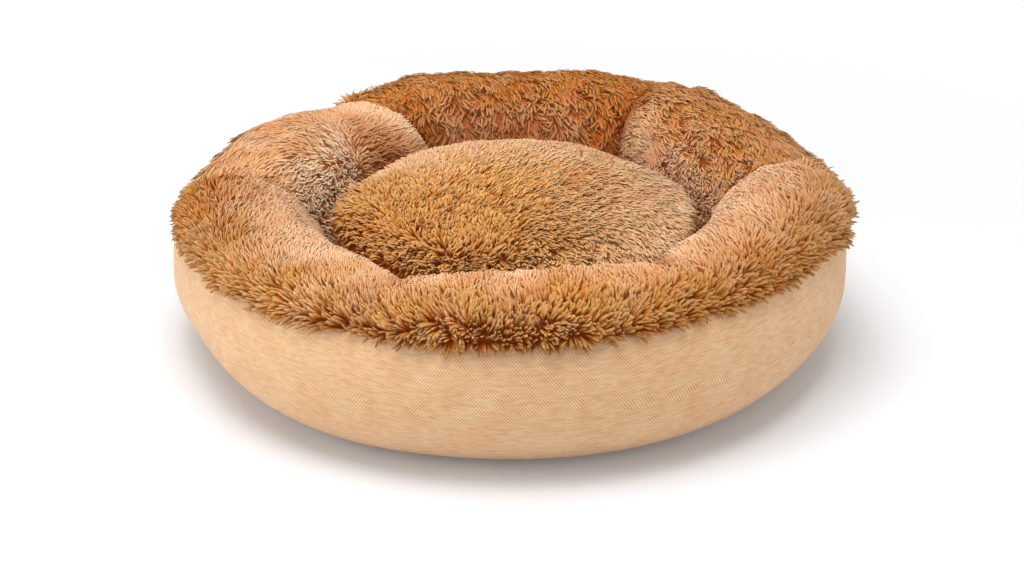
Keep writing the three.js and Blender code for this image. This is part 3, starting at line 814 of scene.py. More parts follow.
ringSkin = {
    "stepsAround": 44, "stepsOver": 60,
    "footTurn": 269.5,  # where the panels end, at the foot of the inner wall
    "seamGap": 0.15,  # degrees, at each side of a seam
    "hemInset": 0.4,  # how far above the rim seam they start, in millimetres
    "puff": 2.5, "puffTurn": (50, 75),  # how far the brushed backing stands out, in millimetres
    "tuft": 0.7, "tuftSize": 17 * mm, "tuftSeed": 9,  # how far the filling presses it out unevenly
    "thickTurn": (56, 72), "thicker": 0.6,  # the hem's pile is thicker, below this
    "combReach": 15,  # how far a combed spot reaches, in millimetres
    "aroundRadius": 190, "overRadius": 68,  # by which angles between the spots become millimetres
    "strays": [(26, 28 * mm, 1), (24, 11 * mm, 2)], "leastStray": 0.3,
    "partingTurn": (54, 68), "partingLift": 72, "partingThicker": 1.5, "partingSharpness": 1.5,
    "standTurn": (44, 60), "lieTurn": (60, 84), "lie": 0.6,  # above the hem the soft pile lies down
    "liftPatches": [(12, 15 * mm, 6)],
    "palePatches": [(0.22, 22 * mm, 3), (0.12, 7 * mm, 4)],
    "darkPatches": [(0.15, 16 * mm, 5)],
    "slackTurn": (48, 75),
    "wellTurn": (150, 172), "wellLift": 65, "wellLength": 15, "wellShade": 0.25,  # down by the cushion, painted in shade
    "hiddenTurn": (180, 200), "sparser": 0.8, "wider": 0.7,  # below this the cushion hides the wall
    "shortTurn": (192, 222), "shorter": 0.6, "bareTurn": (210, 222),  # and near its foot there is none
    "usualWidth": 1.6, "mostPacked": 1.5, "leastPacked": 0.58, "paleGather": 0.7,
    "darkLimits": (-0.7, 1), "softLimits": (-0.8, 1),
    "tuckTurn": (72, 105), "tuckInset": 20,
    "creaseReach": 8, "creaseEnd": (140, 165),  # how near a tucked seam the pile is short and painted in shade
    "creaseShort": 0.45, "creaseLong": 0.7, "creaseLessSheen": 0.3, "creaseShade": 0.5,
    "foldReach": 16,  # how far a fold's smooth edge, with its painted sheen, reaches over the panel
    "foldShort": 0.2, "foldLow": 0.4, "foldSheen": 0.6, "foldNeat": 0.6, "foldSoft": 0.5,
    "folds": {2: 0, 3: 0, 5: 1},  # panels with such an edge, and the end that it is at
}


# Each combed value at points, from the spots near them. Apart is how far each point is from each spot,
# and its reach is in the same unit.
def combAt(apart, spots, reach):
    squared = (apart ** 2).sum(-1)
    weight = np.exp(-squared / (2 * reach ** 2)) + 1e-9 / (1 + squared)
    weight /= weight.sum(1, keepdims=True)
    heading = np.radians(spots[:, 2])
    east, north = weight @ np.sin(heading), weight @ np.cos(heading)
    return np.arctan2(east, north), (weight @ spots[:, 3:]).T, 1 - np.hypot(east, north)


# How far pile gathers in clumps: messy pile more, and pale pile less.
def gatherOf(pale, mess, less):
    return (1 - less * pale) * np.clip(mess / 0.5, 0.2, 1)


# The outer and the inner side of a panel as grids of points. Then each point's angle, its turn, the share
# of the panel's width before it, and that width.
def panelGrids(index):
    shares = np.linspace(0, 1, ringSkin["stepsAround"] + 1)
    start, end = seamAngle(index, 90), seamAngle(index + 1, 90)
    middleAngles = start + shares * (end - start)
    lowTurn = turnAtHeight(middleAngles, rimSeam(middleAngles) + ringSkin["hemInset"])
    steps = np.linspace(0, 1, ringSkin["stepsOver"] + 1)
    turn = lowTurn[:, None] + steps[None, :] * (ringSkin["footTurn"] - lowTurn[:, None])
    share = np.repeat(shares[:, None], len(steps), 1)
    start = seamAngle(index, turn) + ringSkin["seamGap"]
    end = seamAngle(index + 1, turn) - ringSkin["seamGap"]
    theta = start + share * (end - start)
    panel = np.full(theta.shape, index)
    plain = sectionPoint(theta, turn, 0, panel, share).reshape(-1, 3)
    tufts = noiseAt(plain, ringSkin["tuftSize"], ringSkin["tuftSeed"]).reshape(turn.shape)
    puff = ringSkin["puff"] * smoothStep(turn, *ringSkin["puffTurn"]) * (1 + ringSkin["tuft"] * tufts)
    outer = sectionPoint(theta, turn, puff, panel, share)
    inner = sectionPoint(theta, turn, puff - ring["backing"], panel, share)
    width = np.radians((end - start).ravel()) * (ring["ridgeRadius"] - ringSkin["tuckInset"])
    return outer, inner, theta.ravel(), turn.ravel(), share.ravel(), width


def makePlushPanel(index, name):
    outer, inner, theta, turn, share, panelWidth = panelGrids(index)
    vertices, faces = shell(outer, inner, False)
    aroundWay, overWay = (unit(np.gradient(outer, axis=axis)).reshape(-1, 3) for axis in (0, 1))
    flat = outer.reshape(-1, 3)
    span = lambda key: smoothStep(turn, *ringSkin[key])

    spots = np.array([spot for spot in ringCombing if placeOnPanel(spot[0])[0] == index], float)
    aside = np.radians((theta[:, None] - spots[None, :, 0] + 180) % 360 - 180) * ringSkin["aroundRadius"]
    over = np.radians(turn[:, None] - spots[None, :, 1]) * ringSkin["overRadius"]
    heading, combed, split = combAt(np.stack([aside, over], -1), spots, ringSkin["combReach"])
    lift, length, width, pale, dark, mess = combed
    heading += np.radians(patchesAt(flat, ringSkin["strays"]) * (ringSkin["leastStray"] + mess))
    comb = np.cos(heading)[:, None] * overWay + np.sin(heading)[:, None] * aroundWay
    soft = (1 - mess) * span("standTurn")

    # along the parting the pile is thick and stands
    split = split ** ringSkin["partingSharpness"] * (1 - span("partingTurn"))
    lift = lift + (ringSkin["partingLift"] - lift) * split

    # at a tucked seam it is short and painted in shade, and on a fold's edge smooth, with a painted sheen
    edge = np.minimum(share, 1 - share) * panelWidth
    crease = span("tuckTurn") * np.exp(-(edge / ringSkin["creaseReach"]) ** 2)
    fold = 0 * share
    if index in ringSkin["folds"]:
        away = np.abs(share - ringSkin["folds"][index]) * panelWidth
        fold = span("tuckTurn") * np.exp(-(away / ringSkin["foldReach"]) ** 2)
        crease *= away > 0.5 * panelWidth
    length = length * (1 - ringSkin["creaseShort"] * crease * (1 - span("creaseEnd")))
    length = length * (1 - ringSkin["foldShort"] * fold)
    lift = lift * (1 - ringSkin["foldLow"] * fold) * (1 - ringSkin["lie"] * soft * span("lieTurn"))

    # down by the cushion it stands out and fills the gap
    deep, hidden = span("wellTurn"), span("hiddenTurn")
    lift = lift + (ringSkin["wellLift"] - lift) * deep
    length = length + (ringSkin["wellLength"] - length) * deep
    length = length * (1 + ringSkin["creaseLong"] * crease * deep)
    length = length * (1 - ringSkin["shorter"] * span("shortTurn"))
    # a painted sheen on a fold's edge, and less of it in a tucked crease
    pale = pale + ringSkin["foldSheen"] * fold - ringSkin["creaseLessSheen"] * crease
    pale = np.clip(pale + patchesAt(flat, ringSkin["palePatches"]), 0, 1)
    # painted shade in a tucked crease and down in the well by the cushion, with random patches of tone
    dark = dark + ringSkin["creaseShade"] * crease + ringSkin["wellShade"] * deep
    dark = np.clip(dark + patchesAt(flat, ringSkin["darkPatches"]), *ringSkin["darkLimits"])
    mess = mess * (1 - ringSkin["foldNeat"] * fold)
    density = (1 - ringSkin["sparser"] * hidden) * (1 - span("bareTurn"))
    density *= 1 + ringSkin["thicker"] * (1 - span("thickTurn"))
    packed = (ringSkin["usualWidth"] / width) ** 2
    density *= np.clip(packed, ringSkin["leastPacked"], ringSkin["mostPacked"]) / ringSkin["mostPacked"]
    density *= 1 + ringSkin["partingThicker"] * split
    skin = makePiece(name, vertices, faces, {
        "comb": unit(comb),
        "lift": np.radians(lift + patchesAt(flat, ringSkin["liftPatches"])),
        "lockLength": length * mm,
        "lockWidth": width * (1 + ringSkin["wider"] * hidden) * mm,
        "slack": span("slackTurn"),
        "density": density,
        "gather": gatherOf(pale, mess, ringSkin["paleGather"]),
        "mess": mess,
        "pale": pale,
        "dark": dark,
        "soft": np.clip(soft + ringSkin["foldSoft"] * fold, *ringSkin["softLimits"]),
    })
    skin.data.materials.append(knitBacking)
    plantPile(skin, {**ringPile, "Seed": 20 + index})
    return skin


panelNames = ["plushPanelRightBack", "plushPanelBack", "plushPanelLeftBack",
              "plushPanelLeftFront", "plushPanelFront", "plushPanelRightFront"]
for index, name in enumerate(panelNames):
    panel = makePlushPanel(index, name)
    settle(panel, "bed", "long_plush", f"plush_panel_{index + 1}")
    print(name, len(panel.data.polygons), "faces")


# Side wall: linen-look polyester, woven in a fine diagonal twill and drawn taut over the filling, so
# it shows slubs and a faint warm mottling, with no gloss.

wallCloth = {
    "threadPitch": 2.2 * mm,  # 1.1 mm in the cloth, drawn coarser so that it shows
    "light": "#ECC79D", "middle": "#D9B187", "gap": "#B5895E",
    "around": 360, "up": 30, "footTurn": -89.5,
}

# What the woven cloths share: how far threads wander, the sizes of their fuzz, of the patches where the
# ribs or the weft show, of slubs and of mottling, and the relief.
woven = {
    "wander": 1.4, "ribSlant": 0.8, "weftSlant": -0.9,
    "fuzzSize": 5 * mm, "patchSize": 15 * mm, "slubSize": 2.2 * mm, "slubStretch": 0.25,
    "mottleSize": 24 * mm, "mottle": [(0.3, "#F9EEE4"), (0.7, "#FFFFFF")],
    "weave": 0.45, "contrast": 0.6, "stops": (0.2, 0.5, 0.8),
    "relief": 0.4 * mm, "reliefStrength": 0.3, "roughness": 0.88, "sheen": 0.12,
}


def wovenMaterial(name, settings):
    material, tree = newMaterial(name)
    flat = addNode(tree, "ShaderNodeUVMap", {"uv_map": "cloth"})
    stretched = addNode(tree, "ShaderNodeMapping", links={
        "Vector": flat, "Scale": (woven["slubStretch"], 1, 1)})
    fuzz, patch, slub, mottle = (addNode(tree, "ShaderNodeTexNoise", links={
        "Vector": place, "Scale": 1 / woven[size], "Detail": detail})
        for place, size, detail in ((flat, "fuzzSize", 3.0), (flat, "patchSize", 0.0),
                                    (stretched, "slubSize", 2.0), (flat, "mottleSize", 2.0)))
    threads = addNode(tree, *scaledBy, {0: flat, "Scale": 2 * math.pi / settings["threadPitch"]})
    across, up = addNode(tree, "ShaderNodeSeparateXYZ", links={0: threads}).outputs[:2]
    wobble = addNode(tree, *timesPlus, {0: fuzz, 1: woven["wander"], 2: across})
    ribs, weft = (addNode(tree, "ShaderNodeMath", {"operation": "SINE"}, {
        0: addNode(tree, *timesPlus, {0: up, 1: woven[slant], 2: wobble})})
        for slant in ("ribSlant", "weftSlant"))
    weave = addNode(tree, *minus, {0: ribs, 1: weft})
    weave = addNode(tree, *timesPlus, {0: weave, 1: patch, 2: weft})
    weave = addNode(tree, *timesPlus, {0: weave, 1: woven["contrast"], 2: 0.5})
    weave = addNode(tree, *times, {0: weave, 1: woven["weave"]})
    depth = addNode(tree, *timesPlus, {0: slub, 1: 1 - woven["weave"], 2: weave})
    stops = [(place, settings[key]) for place, key in zip(woven["stops"], ("gap", "middle", "light"))]
    cloth = setStops(addNode(tree, "ShaderNodeValToRGB", links={0: depth}), stops)
    warm = setStops(addNode(tree, "ShaderNodeValToRGB", links={0: mottle}), woven["mottle"])
    colour = addNode(tree, *vectorTimes, {0: cloth, 1: warm})
    bump = addNode(tree, "ShaderNodeBump", links={
        "Height": depth, "Strength": woven["reliefStrength"], "Distance": woven["relief"]})
    shader = addNode(tree, "ShaderNodeBsdfPrincipled", links={
        "Base Color": colour, "Normal": bump, "Roughness": woven["roughness"],
        "Sheen Weight": woven["sheen"]})
    addNode(tree, "ShaderNodeOutputMaterial", links={"Surface": shader})
    return material


# The vertex at each corner of each face, and its spot.
def cornersOf(piece):
    corner = np.empty(len(piece.data.loops), np.int32)
    piece.data.loops.foreach_get("vertex_index", corner)
    spots = np.empty(len(piece.data.vertices) * 3, np.float32)
    piece.data.vertices.foreach_get("co", spots)
    return corner, spots.reshape(-1, 3)[corner]


def addClothMap(piece, spots):
    layer = piece.data.uv_layers.new(name="cloth")
    layer.data.foreach_set("uv", spots.astype(np.float32).ravel())


# A cloth map in metres for a band: its length round the piece, and the height of each column along it.
def addBandMap(piece, rows, heights, perimeter):
    corner, _ = cornersOf(piece)
    columns = len(heights)
    row, column = (corner % (rows * columns)) // columns, corner % columns
    perFace = row.reshape(-1, 4)  # each face of the band has four corners
    crossing = np.ptp(perFace, axis=1, keepdims=True) > rows / 2
    row = np.where(crossing & (perFace < rows / 2), perFace + rows, perFace).ravel()
    addClothMap(piece, np.stack([row * perimeter / rows, heights[column]], -1))


wovenLinen = wovenMaterial("wovenLinenLookPolyester", wallCloth)


def makeSideWall():
    rows, columns = wallCloth["around"], wallCloth["up"] + 1
    theta = np.arange(rows) * 360 / rows
    top = turnAtHeight(theta, rimSeam(theta))
    foot = wallCloth["footTurn"]
    turn = foot + np.linspace(0, 1, columns)[None, :] * (top[:, None] - foot)
    theta = np.repeat(theta[:, None], columns, 1)
    panel, share = placeOnPanel(theta)
    outer, inner = (sectionPoint(theta, turn, grow, panel, share) for grow in (0, -ring["cloth"]))
    wall = makePiece("sideWallCloth", *shell(outer, inner, True))
    wall.data.materials.append(wovenLinen)
    stride = np.linalg.norm(np.diff(outer, axis=1), axis=2).mean(0)
    heights = np.concatenate([[0], np.cumsum(stride)])
    perimeter = 2 * math.pi * ring["wallRadius"] * mm
    addBandMap(wall, rows, heights, perimeter)
    return wall, perimeter, float(heights[-1])


sideWall, wallLength, wallWidth = makeSideWall()
settle(sideWall, "bed", "woven_cloth", "side_wall")
print("side wall made")


# Cushion: a closed form of plush over a plain lining, puffed by a cloth simulation and then held near
# its drawn shape, so that it still fits the room inside the ring.

cushion = {  # in millimetres and degrees
    "height": 114, "shoulder": 101, "rearRise": 4, "fit": 1.2, "seamHeight": 44, "footRadius": 111.8,
    "ridgeHeight": 136.3, "ringPile": 9,  # of the ring round it
    "crownRoundness": 2.6, "footSquareness": 2.4, "foot": 3.8,
    "pile": 7, "backing": 1.8, "lining": 1.6, "tuft": 1.2, "tuftSize": 15 * mm, "tuftSeed": 17,
    "around": 144, "sideSteps": 14, "crownSteps": 26, "footSteps": 10, "floorSteps": 14,
    # the seam puckers: how deep, how many and how unevenly spaced, and how far they reach from it
    "pucker": 1.1, "puckers": 46, "puckerDrift": (2.2, 5), "puckerReach": 16, "puckerStep": 3.2,
    "puckerRadius": 100,
    # where its shoulder is pushed in: angle, width and depth, and between which heights
    "dents": [(42, 18, 10), (152, 20, 11), (224, 20, -5), (246, 9, -4)], "dentHeight": (40, 90),
    "radius": 130,  # where they are as deep as that
}

stuffing = {
    "pressure": 4.0, "stiffness": 18.0, "give": 6.0, "bending": 0.6, "quality": 4, "frames": 20,
    "shrink": 0.03,  # the cloth is cut a little smaller than its stuffing
    "cap": 4.5 * mm,  # the most that it moves a point
}


# The ring's inner wall above its fullest level, to the tips of its pile.
def innerWallRadius(height):
    full, pile = ring["fullestHeight"], cushion["ringPile"]
    share = np.clip((height - full) / (cushion["ridgeHeight"] + pile - full), 0, 1)
    across = (1 - share ** ring["innerTop"]) ** (1 / ring["innerTop"])
    return ring["ridgeRadius"] - (ring["ridgeRadius"] - ring["throatRadius"] + pile) * across


# Radius and height from the underside's pole, round the seam, to the crown's pole.
def cushionProfile():
    seam, shoulder, inset = cushion["seamHeight"], cushion["shoulder"], cushion["pile"]
    footRadius, footHeight = cushion["footRadius"], cushion["foot"]
    gap = cushion["fit"] + inset
    floorRadii = np.linspace(0, footRadius, cushion["floorSteps"] + 1)[:-1]
    floor = [(r, footHeight) for r in floorRadii]
    across = innerWallRadius(ring["fullestHeight"]) - gap - footRadius
    turns = np.linspace(0, math.pi / 2, cushion["footSteps"] + 1)
    power = 2 / cushion["footSquareness"]
    foot = [(footRadius + across * math.sin(t) ** power,
             seam - (seam - footHeight) * max(math.cos(t), 0) ** power) for t in turns]
    heights = np.linspace(seam, shoulder, cushion["sideSteps"] + 1)[1:]
    side = [(float(innerWallRadius(max(h, ring["fullestHeight"]))) - gap, h) for h in heights]
    reach, rise = side[-1][0], cushion["height"] - inset - shoulder
    turns = np.linspace(0, math.pi / 2, cushion["crownSteps"] + 1)[1:]
    power = 2 / cushion["crownRoundness"]
    crown = [(reach * max(math.cos(t), 0) ** power, shoulder + rise * math.sin(t) ** power) for t in turns]
    return np.array(floor + foot + side + crown), len(floor) + cushion["footSteps"]


# Vertices and faces of a grid that runs all the way round, between two poles.
def closedForm(grid):
    rows, columns = grid.shape[:2]
    vertices = [*grid[:, 1:-1].reshape(-1, 3), grid[0, 0], grid[0, -1]]
    kept = columns - 2

    def at(i, j):
        return rows * kept + (j > 0) if j in (0, columns - 1) else (i % rows) * kept + j - 1

    faces = []
    for i in range(rows):
        for j in range(columns - 1):
            quad = (at(i, j), at(i + 1, j), at(i + 1, j + 1), at(i, j + 1))
            faces.append(tuple(dict.fromkeys(quad)))
    return vertices, faces


# Puffs the closed form with a cloth simulation, and holds each point within the cap of its start.
def stuff(grid):
    rows, kept = len(grid), grid.shape[1] - 2
    vertices, faces = closedForm(grid)
    form = makePiece("cushionForm", vertices, faces)
    cloth = form.modifiers.new("stuffing", "CLOTH").settings
    cloth.quality = stuffing["quality"]
    cloth.tension_stiffness = stuffing["stiffness"]
    cloth.compression_stiffness = stuffing["give"]
    cloth.bending_stiffness = stuffing["bending"]
    cloth.use_pressure = True
    cloth.uniform_pressure_force = stuffing["pressure"]
    cloth.shrink_min = stuffing["shrink"]
    cloth.effector_weights.gravity = 0
    for number in range(1, stuffing["frames"] + 1):
        bpy.context.scene.frame_set(number)
    settled = form.evaluated_get(bpy.context.evaluated_depsgraph_get()).to_mesh()
    spots = np.empty(len(vertices) * 3, np.float32)
    settled.vertices.foreach_get("co", spots)
    bpy.context.scene.frame_set(1)
    bare = form.data
    bpy.data.objects.remove(form)
    bpy.data.meshes.remove(bare)
    drawn = np.array(vertices)
    moved = spots.reshape(-1, 3).astype(float) - drawn
    reach = np.linalg.norm(moved, axis=1, keepdims=True)
    spots = drawn + moved * np.minimum(1, stuffing["cap"] / np.maximum(reach, 1e-9))
    print("cushion stuffed, and held back from", round(float(reach.max()) * 1000, 1), "mm")
    stuffed = grid.copy()
    stuffed[:, 1:-1] = spots[:-2].reshape(rows, kept, 3)
    stuffed[:, 0], stuffed[:, -1] = spots[-2], spots[-1]
    return stuffed


# Normals of a grid that runs all the way round.
def gridNormals(grid):
    aroundWay = np.roll(grid, -1, 0) - np.roll(grid, 1, 0)
    return unit(np.cross(aroundWay, np.gradient(grid, axis=1)))


def makeCushionForm():
    profile, seamColumn = cushionProfile()
    theta = np.arange(cushion["around"]) * 2 * math.pi / cushion["around"]
    radius, height = (np.repeat(profile[None, :, k], len(theta), 0) for k in (0, 1))
    away = np.abs(np.arange(len(profile)) - seamColumn)[None, :] * cushion["puckerStep"]
    drift, drifts = cushion["puckerDrift"]
    wave = np.sin(theta * cushion["puckers"] + drift * np.sin(theta * drifts))[:, None]
    pucker = cushion["pucker"] * wave * np.exp(-(away / cushion["puckerReach"]) ** 2)
    radius = radius + pucker * (radius > cushion["puckerRadius"])
    above = np.clip((height - cushion["seamHeight"]) / (cushion["shoulder"] - cushion["seamHeight"]), 0, 1)
    for place, width, depth in cushion["dents"]:
        dent = depth * np.exp(-((np.degrees(theta)[:, None] - place) / width) ** 2)
        radius = radius - dent * smoothStep(height, *cushion["dentHeight"]) * radius / cushion["radius"]
    height = height + cushion["rearRise"] * above * np.sin(theta)[:, None] * radius / cushion["radius"]
    grid = np.stack([radius * np.cos(theta)[:, None], radius * np.sin(theta)[:, None], height], -1) * mm
    stuffed = stuff(grid)
    stuffed[:, :, 2] = np.maximum(stuffed[:, :, 2], cushion["foot"] * mm)
    return stuffed, seamColumn


cushionForm, seamColumn = makeCushionForm()
formNormals = gridNormals(cushionForm)
formNormals[:, 0], formNormals[:, -1] = (0, 0, -1), (0, 0, 1)

# How the cushion is combed, spot by spot: x and y in millimetres, the heading seen from above with 0
# to the right and 90 to the back, then as for the ring.

cushionCombing = [
    (0, 125, 80, 24, 8, 1.5, 0.72, 0, 0.15), (-65, 105, 110, 24, 8, 1.5, 0.7, 0, 0.2),
    (65, 105, 60, 24, 8, 1.5, 0.7, 0, 0.15), (108, 62, 20, 30, 8, 1.81, 0.85, 0, 0.2),
    (124, 0, -10, 32, 8, 1.81, 0.8, 0, 0.25), (105, -60, -40, 34, 10, 1.81, 0.75, 0, 0.3),
    (60, -108, -70, 40, 11, 1.81, 0.5, 0.05, 0.4), (-108, 62, 140, 32, 9, 1.88, 0.7, 0.1, 0.3),
    (-124, 10, 180, 50, 10, 2.09, 0.2, 0.35, 0.6), (-112, -50, 205, 60, 11, 2.23, 0, 0.45, 0.7),
    (-80, -95, 235, 60, 11, 2.23, 0, 0.4, 0.7), (-20, -122, 265, 56, 10, 2.09, 0.05, 0.4, 0.6),
    (-70, 60, 75, 36, 10, 1.95, 0.6, 0, 0.3), (-88, 5, 85, 55, 12, 2.23, 0.1, 0.32, 0.7),
    (-75, -45, 70, 66, 12, 2.23, 0, 0.35, 0.8), (-30, 85, 70, 34, 10, 1.95, 0.7, 0, 0.2),
    (30, 85, 50, 32, 9, 1.88, 0.7, 0, 0.2), (75, 55, 20, 32, 9, 1.88, 0.65, 0, 0.3),
    (92, 0, -5, 36, 8, 1.81, 0.6, 0, 0.5), (75, -50, -20, 38, 9, 1.88, 0.5, 0, 0.4),
    (-35, 35, 60, 38, 11, 2.09, 0.2, 0, 0.35), (5, 50, 45, 36, 10, 2.02, 0.35, 0, 0.3),
    (5, 10, 48, 38, 11, 2.09, 0.05, 0, 0.35), (45, 30, 15, 36, 10, 1.95, 0.35, 0, 0.5),
    (45, -15, -5, 38, 9, 1.95, 0.25, 0, 0.55), (-40, -15, 58, 44, 12, 2.16, 0.05, 0.12, 0.5),
    (-50, -60, 60, 60, 12, 2.23, 0.05, 0.25, 0.7), (-5, -35, 45, 42, 11, 2.09, 0.1, 0.1, 0.5),
    (25, -65, -20, 44, 11, 2.09, 0.1, 0.15, 0.5), (-20, -92, 70, 66, 12, 2.23, 0, 0.3, 0.7),
    (35, -95, -50, 52, 10, 2.09, 0.15, 0.2, 0.5),
]

cushionPile = {
    "Lock Shapes": locks,
    "Locks Per Square Metre": 4e5,
    "Least Spacing": 0.75 * mm,
    "Clump Size": 6 * mm,
    "Clump Pull": 0.4,
    "Arch": 0.14,
    "Droop": 0.3,
    "Sway": 4 * mm,
    "Sway Size": 8 * mm,
    "Curl": 1.8 * mm,
    "Curl Size": 3.5 * mm,
    "Pile": shortPlushMaterial,
    "Seed": 40,
}

cushionSkin = {
    "combReach": 18,  # in millimetres
    "strays": [(24, 26 * mm, 11), (16, 10 * mm, 12)],
    "steepness": (0.15, 0.7),  # the side, by how far up its surface looks
    "sideLift": 62, "sideLength": 14, "sideFall": 2,  # of the pile there, which hangs down
    "paleGather": 0.6,
    "hiddenHeight": (52, 68), "sparser": 0.75, "wider": 0.7,
    # how soft the pile lies, from the middle out, to the right and to the rear
    "softOut": (0.3, 50, 90), "softRight": (0.35, 0, 80), "softRear": (0.65, 35, 90), "lie": 0.3,
    "liftPatches": [(10, 12 * mm, 15)],
    "palePatches": [(0.2, 20 * mm, 13), (0.12, 6 * mm, 14)],
    "darkPatches": [(0.15, 14 * mm, 16)],
}


def makeCushionPlush():
    grid, normals = cushionForm[:, seamColumn:], formNormals[:, seamColumn:]
    tufts = noiseAt(grid.reshape(-1, 3), cushion["tuftSize"], cushion["tuftSeed"]).reshape(grid.shape[:2])
    tufts *= (1 - np.linspace(1, 0, grid.shape[1]) ** 4) * cushion["tuft"] * mm
    tufts[:, -1] = tufts[:, -1].mean()
    outer = grid + normals * tufts[:, :, None]
    vertices, faces = shell(outer, grid - normals * cushion["backing"] * mm, True, pole=True)
    flat = vertices[:len(vertices) // 2]
    x, y, z = flat.T / mm
    upright = np.concatenate([normals[:, :-1].reshape(-1, 3), normals[:1, -1]])
    spots = np.array(cushionCombing, float)
    apart = flat[:, None, :2] / mm - spots[None, :, :2]
    heading, combed, _ = combAt(apart, spots, cushionSkin["combReach"])
    lift, length, width, pale, dark, mess = combed
    heading += np.radians(patchesAt(flat, cushionSkin["strays"]))
    steep = 1 - smoothStep(upright[:, 2], *cushionSkin["steepness"])
    fall = -cushionSkin["sideFall"] * steep
    way = np.stack([np.cos(heading) * (1 - steep), np.sin(heading) * (1 - steep), fall], -1)
    hidden = 1 - smoothStep(z, *cushionSkin["hiddenHeight"])
    soft = sum(cushionSkin[key][0] * smoothStep(value, *cushionSkin[key][1:])
               for key, value in (("softOut", np.hypot(x, y)), ("softRight", x), ("softRear", y)))
    soft = np.clip(soft, 0, 1)
    # pale: a painted sheen where the combed pile catches the light, with random patches of tone
    pale = np.clip(pale + patchesAt(flat, cushionSkin["palePatches"]), 0, 1)
    sideLift = (cushionSkin["sideLift"] - lift) * steep
    lift = lift * (1 - cushionSkin["lie"] * soft) + sideLift + patchesAt(flat, cushionSkin["liftPatches"])
    skin = makePiece("cushionPlushTop", vertices, faces, {
        "comb": unit(way - (way * upright).sum(1, keepdims=True) * upright),
        "lift": np.radians(lift),
        "lockLength": (length + (cushionSkin["sideLength"] - length) * steep) * mm,
        "lockWidth": width * (1 + cushionSkin["wider"] * hidden) * mm,
        "slack": np.ones(len(flat)),
        "gather": gatherOf(pale, mess, cushionSkin["paleGather"]),
        "density": 1 - cushionSkin["sparser"] * hidden,
        "mess": mess,
        "pale": pale,
        # painted shade, most towards the front and left, where the ring shades the cushion, with random
        # patches of tone
        "dark": np.clip(dark + patchesAt(flat, cushionSkin["darkPatches"]), 0, 1),
        "soft": soft,
    })
    skin.data.materials.append(knitBacking)
    plantPile(skin, cushionPile)
    return skin


cushionTop = makeCushionPlush()
settle(cushionTop, "cushion", "cushion_plush", "cushion_top")
print("cushion top made,", len(cushionTop.data.polygons), "faces")


# Lining: plain-woven polyester, thin and matt, under the cushion and on the well's floor.

lining = {
    "threadPitch": 1.4 * mm,  # 0.6 mm in the cloth, drawn coarser so that it shows
    "light": "#E6CCA6", "middle": "#DCC09A", "gap": "#C0A076",
    "discSteps": 8, "edges": 120,
}
plainLining = wovenMaterial("plainWovenLining", lining)


def makeCushionUnderside():
    grid, normals = cushionForm[::-1, seamColumn::-1], formNormals[::-1, seamColumn::-1]
    inner = grid - normals * cushion["lining"] * mm
    underside = makePiece("cushionLining", *shell(grid, inner, True, pole=True))
    addClothMap(underside, cornersOf(underside)[1][:, :2])
    underside.data.materials.append(plainLining)
    return underside


cushionUnderside = makeCushionUnderside()
settle(cushionUnderside, "cushion", "lining_cloth", "cushion_underside")


# A flat round of cloth, with its edge at the given radii, mapped as seen from above.
def makeDisc(name, radii, low, high, material):
    theta = np.arange(len(radii)) * 2 * math.pi / len(radii)
    across = radii[:, None] * np.linspace(1, 0, lining["discSteps"] + 1)[None, :]
    x, y = across * np.cos(theta)[:, None], across * np.sin(theta)[:, None]
    top = np.stack([x, y, np.full(x.shape, high)], -1) * mm
    under = top.copy()
    under[:, :, 2] = low * mm
    disc = makePiece(name, *shell(top, under, True, pole=True))
    disc.data.shade_flat()
    addClothMap(disc, cornersOf(disc)[1][:, :2])
    disc.data.materials.append(material)
    return disc


wellLow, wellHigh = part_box("well_floor")
wellRadius = (wellHigh.x - wellLow.x) / 2 / mm
wellRadii = np.full(lining["edges"], wellRadius)
wellFloor = makeDisc("wellLining", wellRadii, wellLow.z / mm, wellHigh.z / mm, plainLining)
settle(wellFloor, "bed", "lining_cloth", "well_floor")


# Base: a plain cloth with clear rubber dots printed on it, which keep it from sliding.

base = {
    "threadPitch": 1.6 * mm,  # 0.8 mm in the cloth, drawn coarser so that it shows
    "light": "#E2D0B2", "middle": "#D8C3A5", "gap": "#B99F7C",
    "clothLow": 0.7, "clothHigh": 1.7, "edges": 180,
}
dots = {
    "Spacing": 12 * mm, "Dot Radius": 1.7 * mm, "Dot Height": 0.8 * mm, "Reach": 176 * mm,
    "Cloth Height": (base["clothLow"] + 0.1) * mm,  # the middles of the dots lie just inside the cloth
}
rubber = {"bloomSize": 3 * mm, "bloom": [(0.3, "#DCCFB8"), (0.7, "#EFE6D6")], "roughness": 0.32, "ior": 1.52}
dottedCloth = wovenMaterial("plainWovenBaseCloth", base)


def rubberMaterial():
    # Printed clear rubber: smooth and slightly glossy, so each dot carries a small highlight.
    material, tree = newMaterial("printedClearRubber")
    spot = addNode(tree, "ShaderNodeTexCoord").outputs["Object"]
    bloom = addNode(tree, "ShaderNodeTexNoise", links={"Vector": spot, "Scale": 1 / rubber["bloomSize"]})
    colour = setStops(addNode(tree, "ShaderNodeValToRGB", links={0: bloom}), rubber["bloom"])
    shader = addNode(tree, "ShaderNodeBsdfPrincipled", links={
        "Base Color": colour, "Roughness": rubber["roughness"], "IOR": rubber["ior"]})
    addNode(tree, "ShaderNodeOutputMaterial", links={"Surface": shader})
    return material


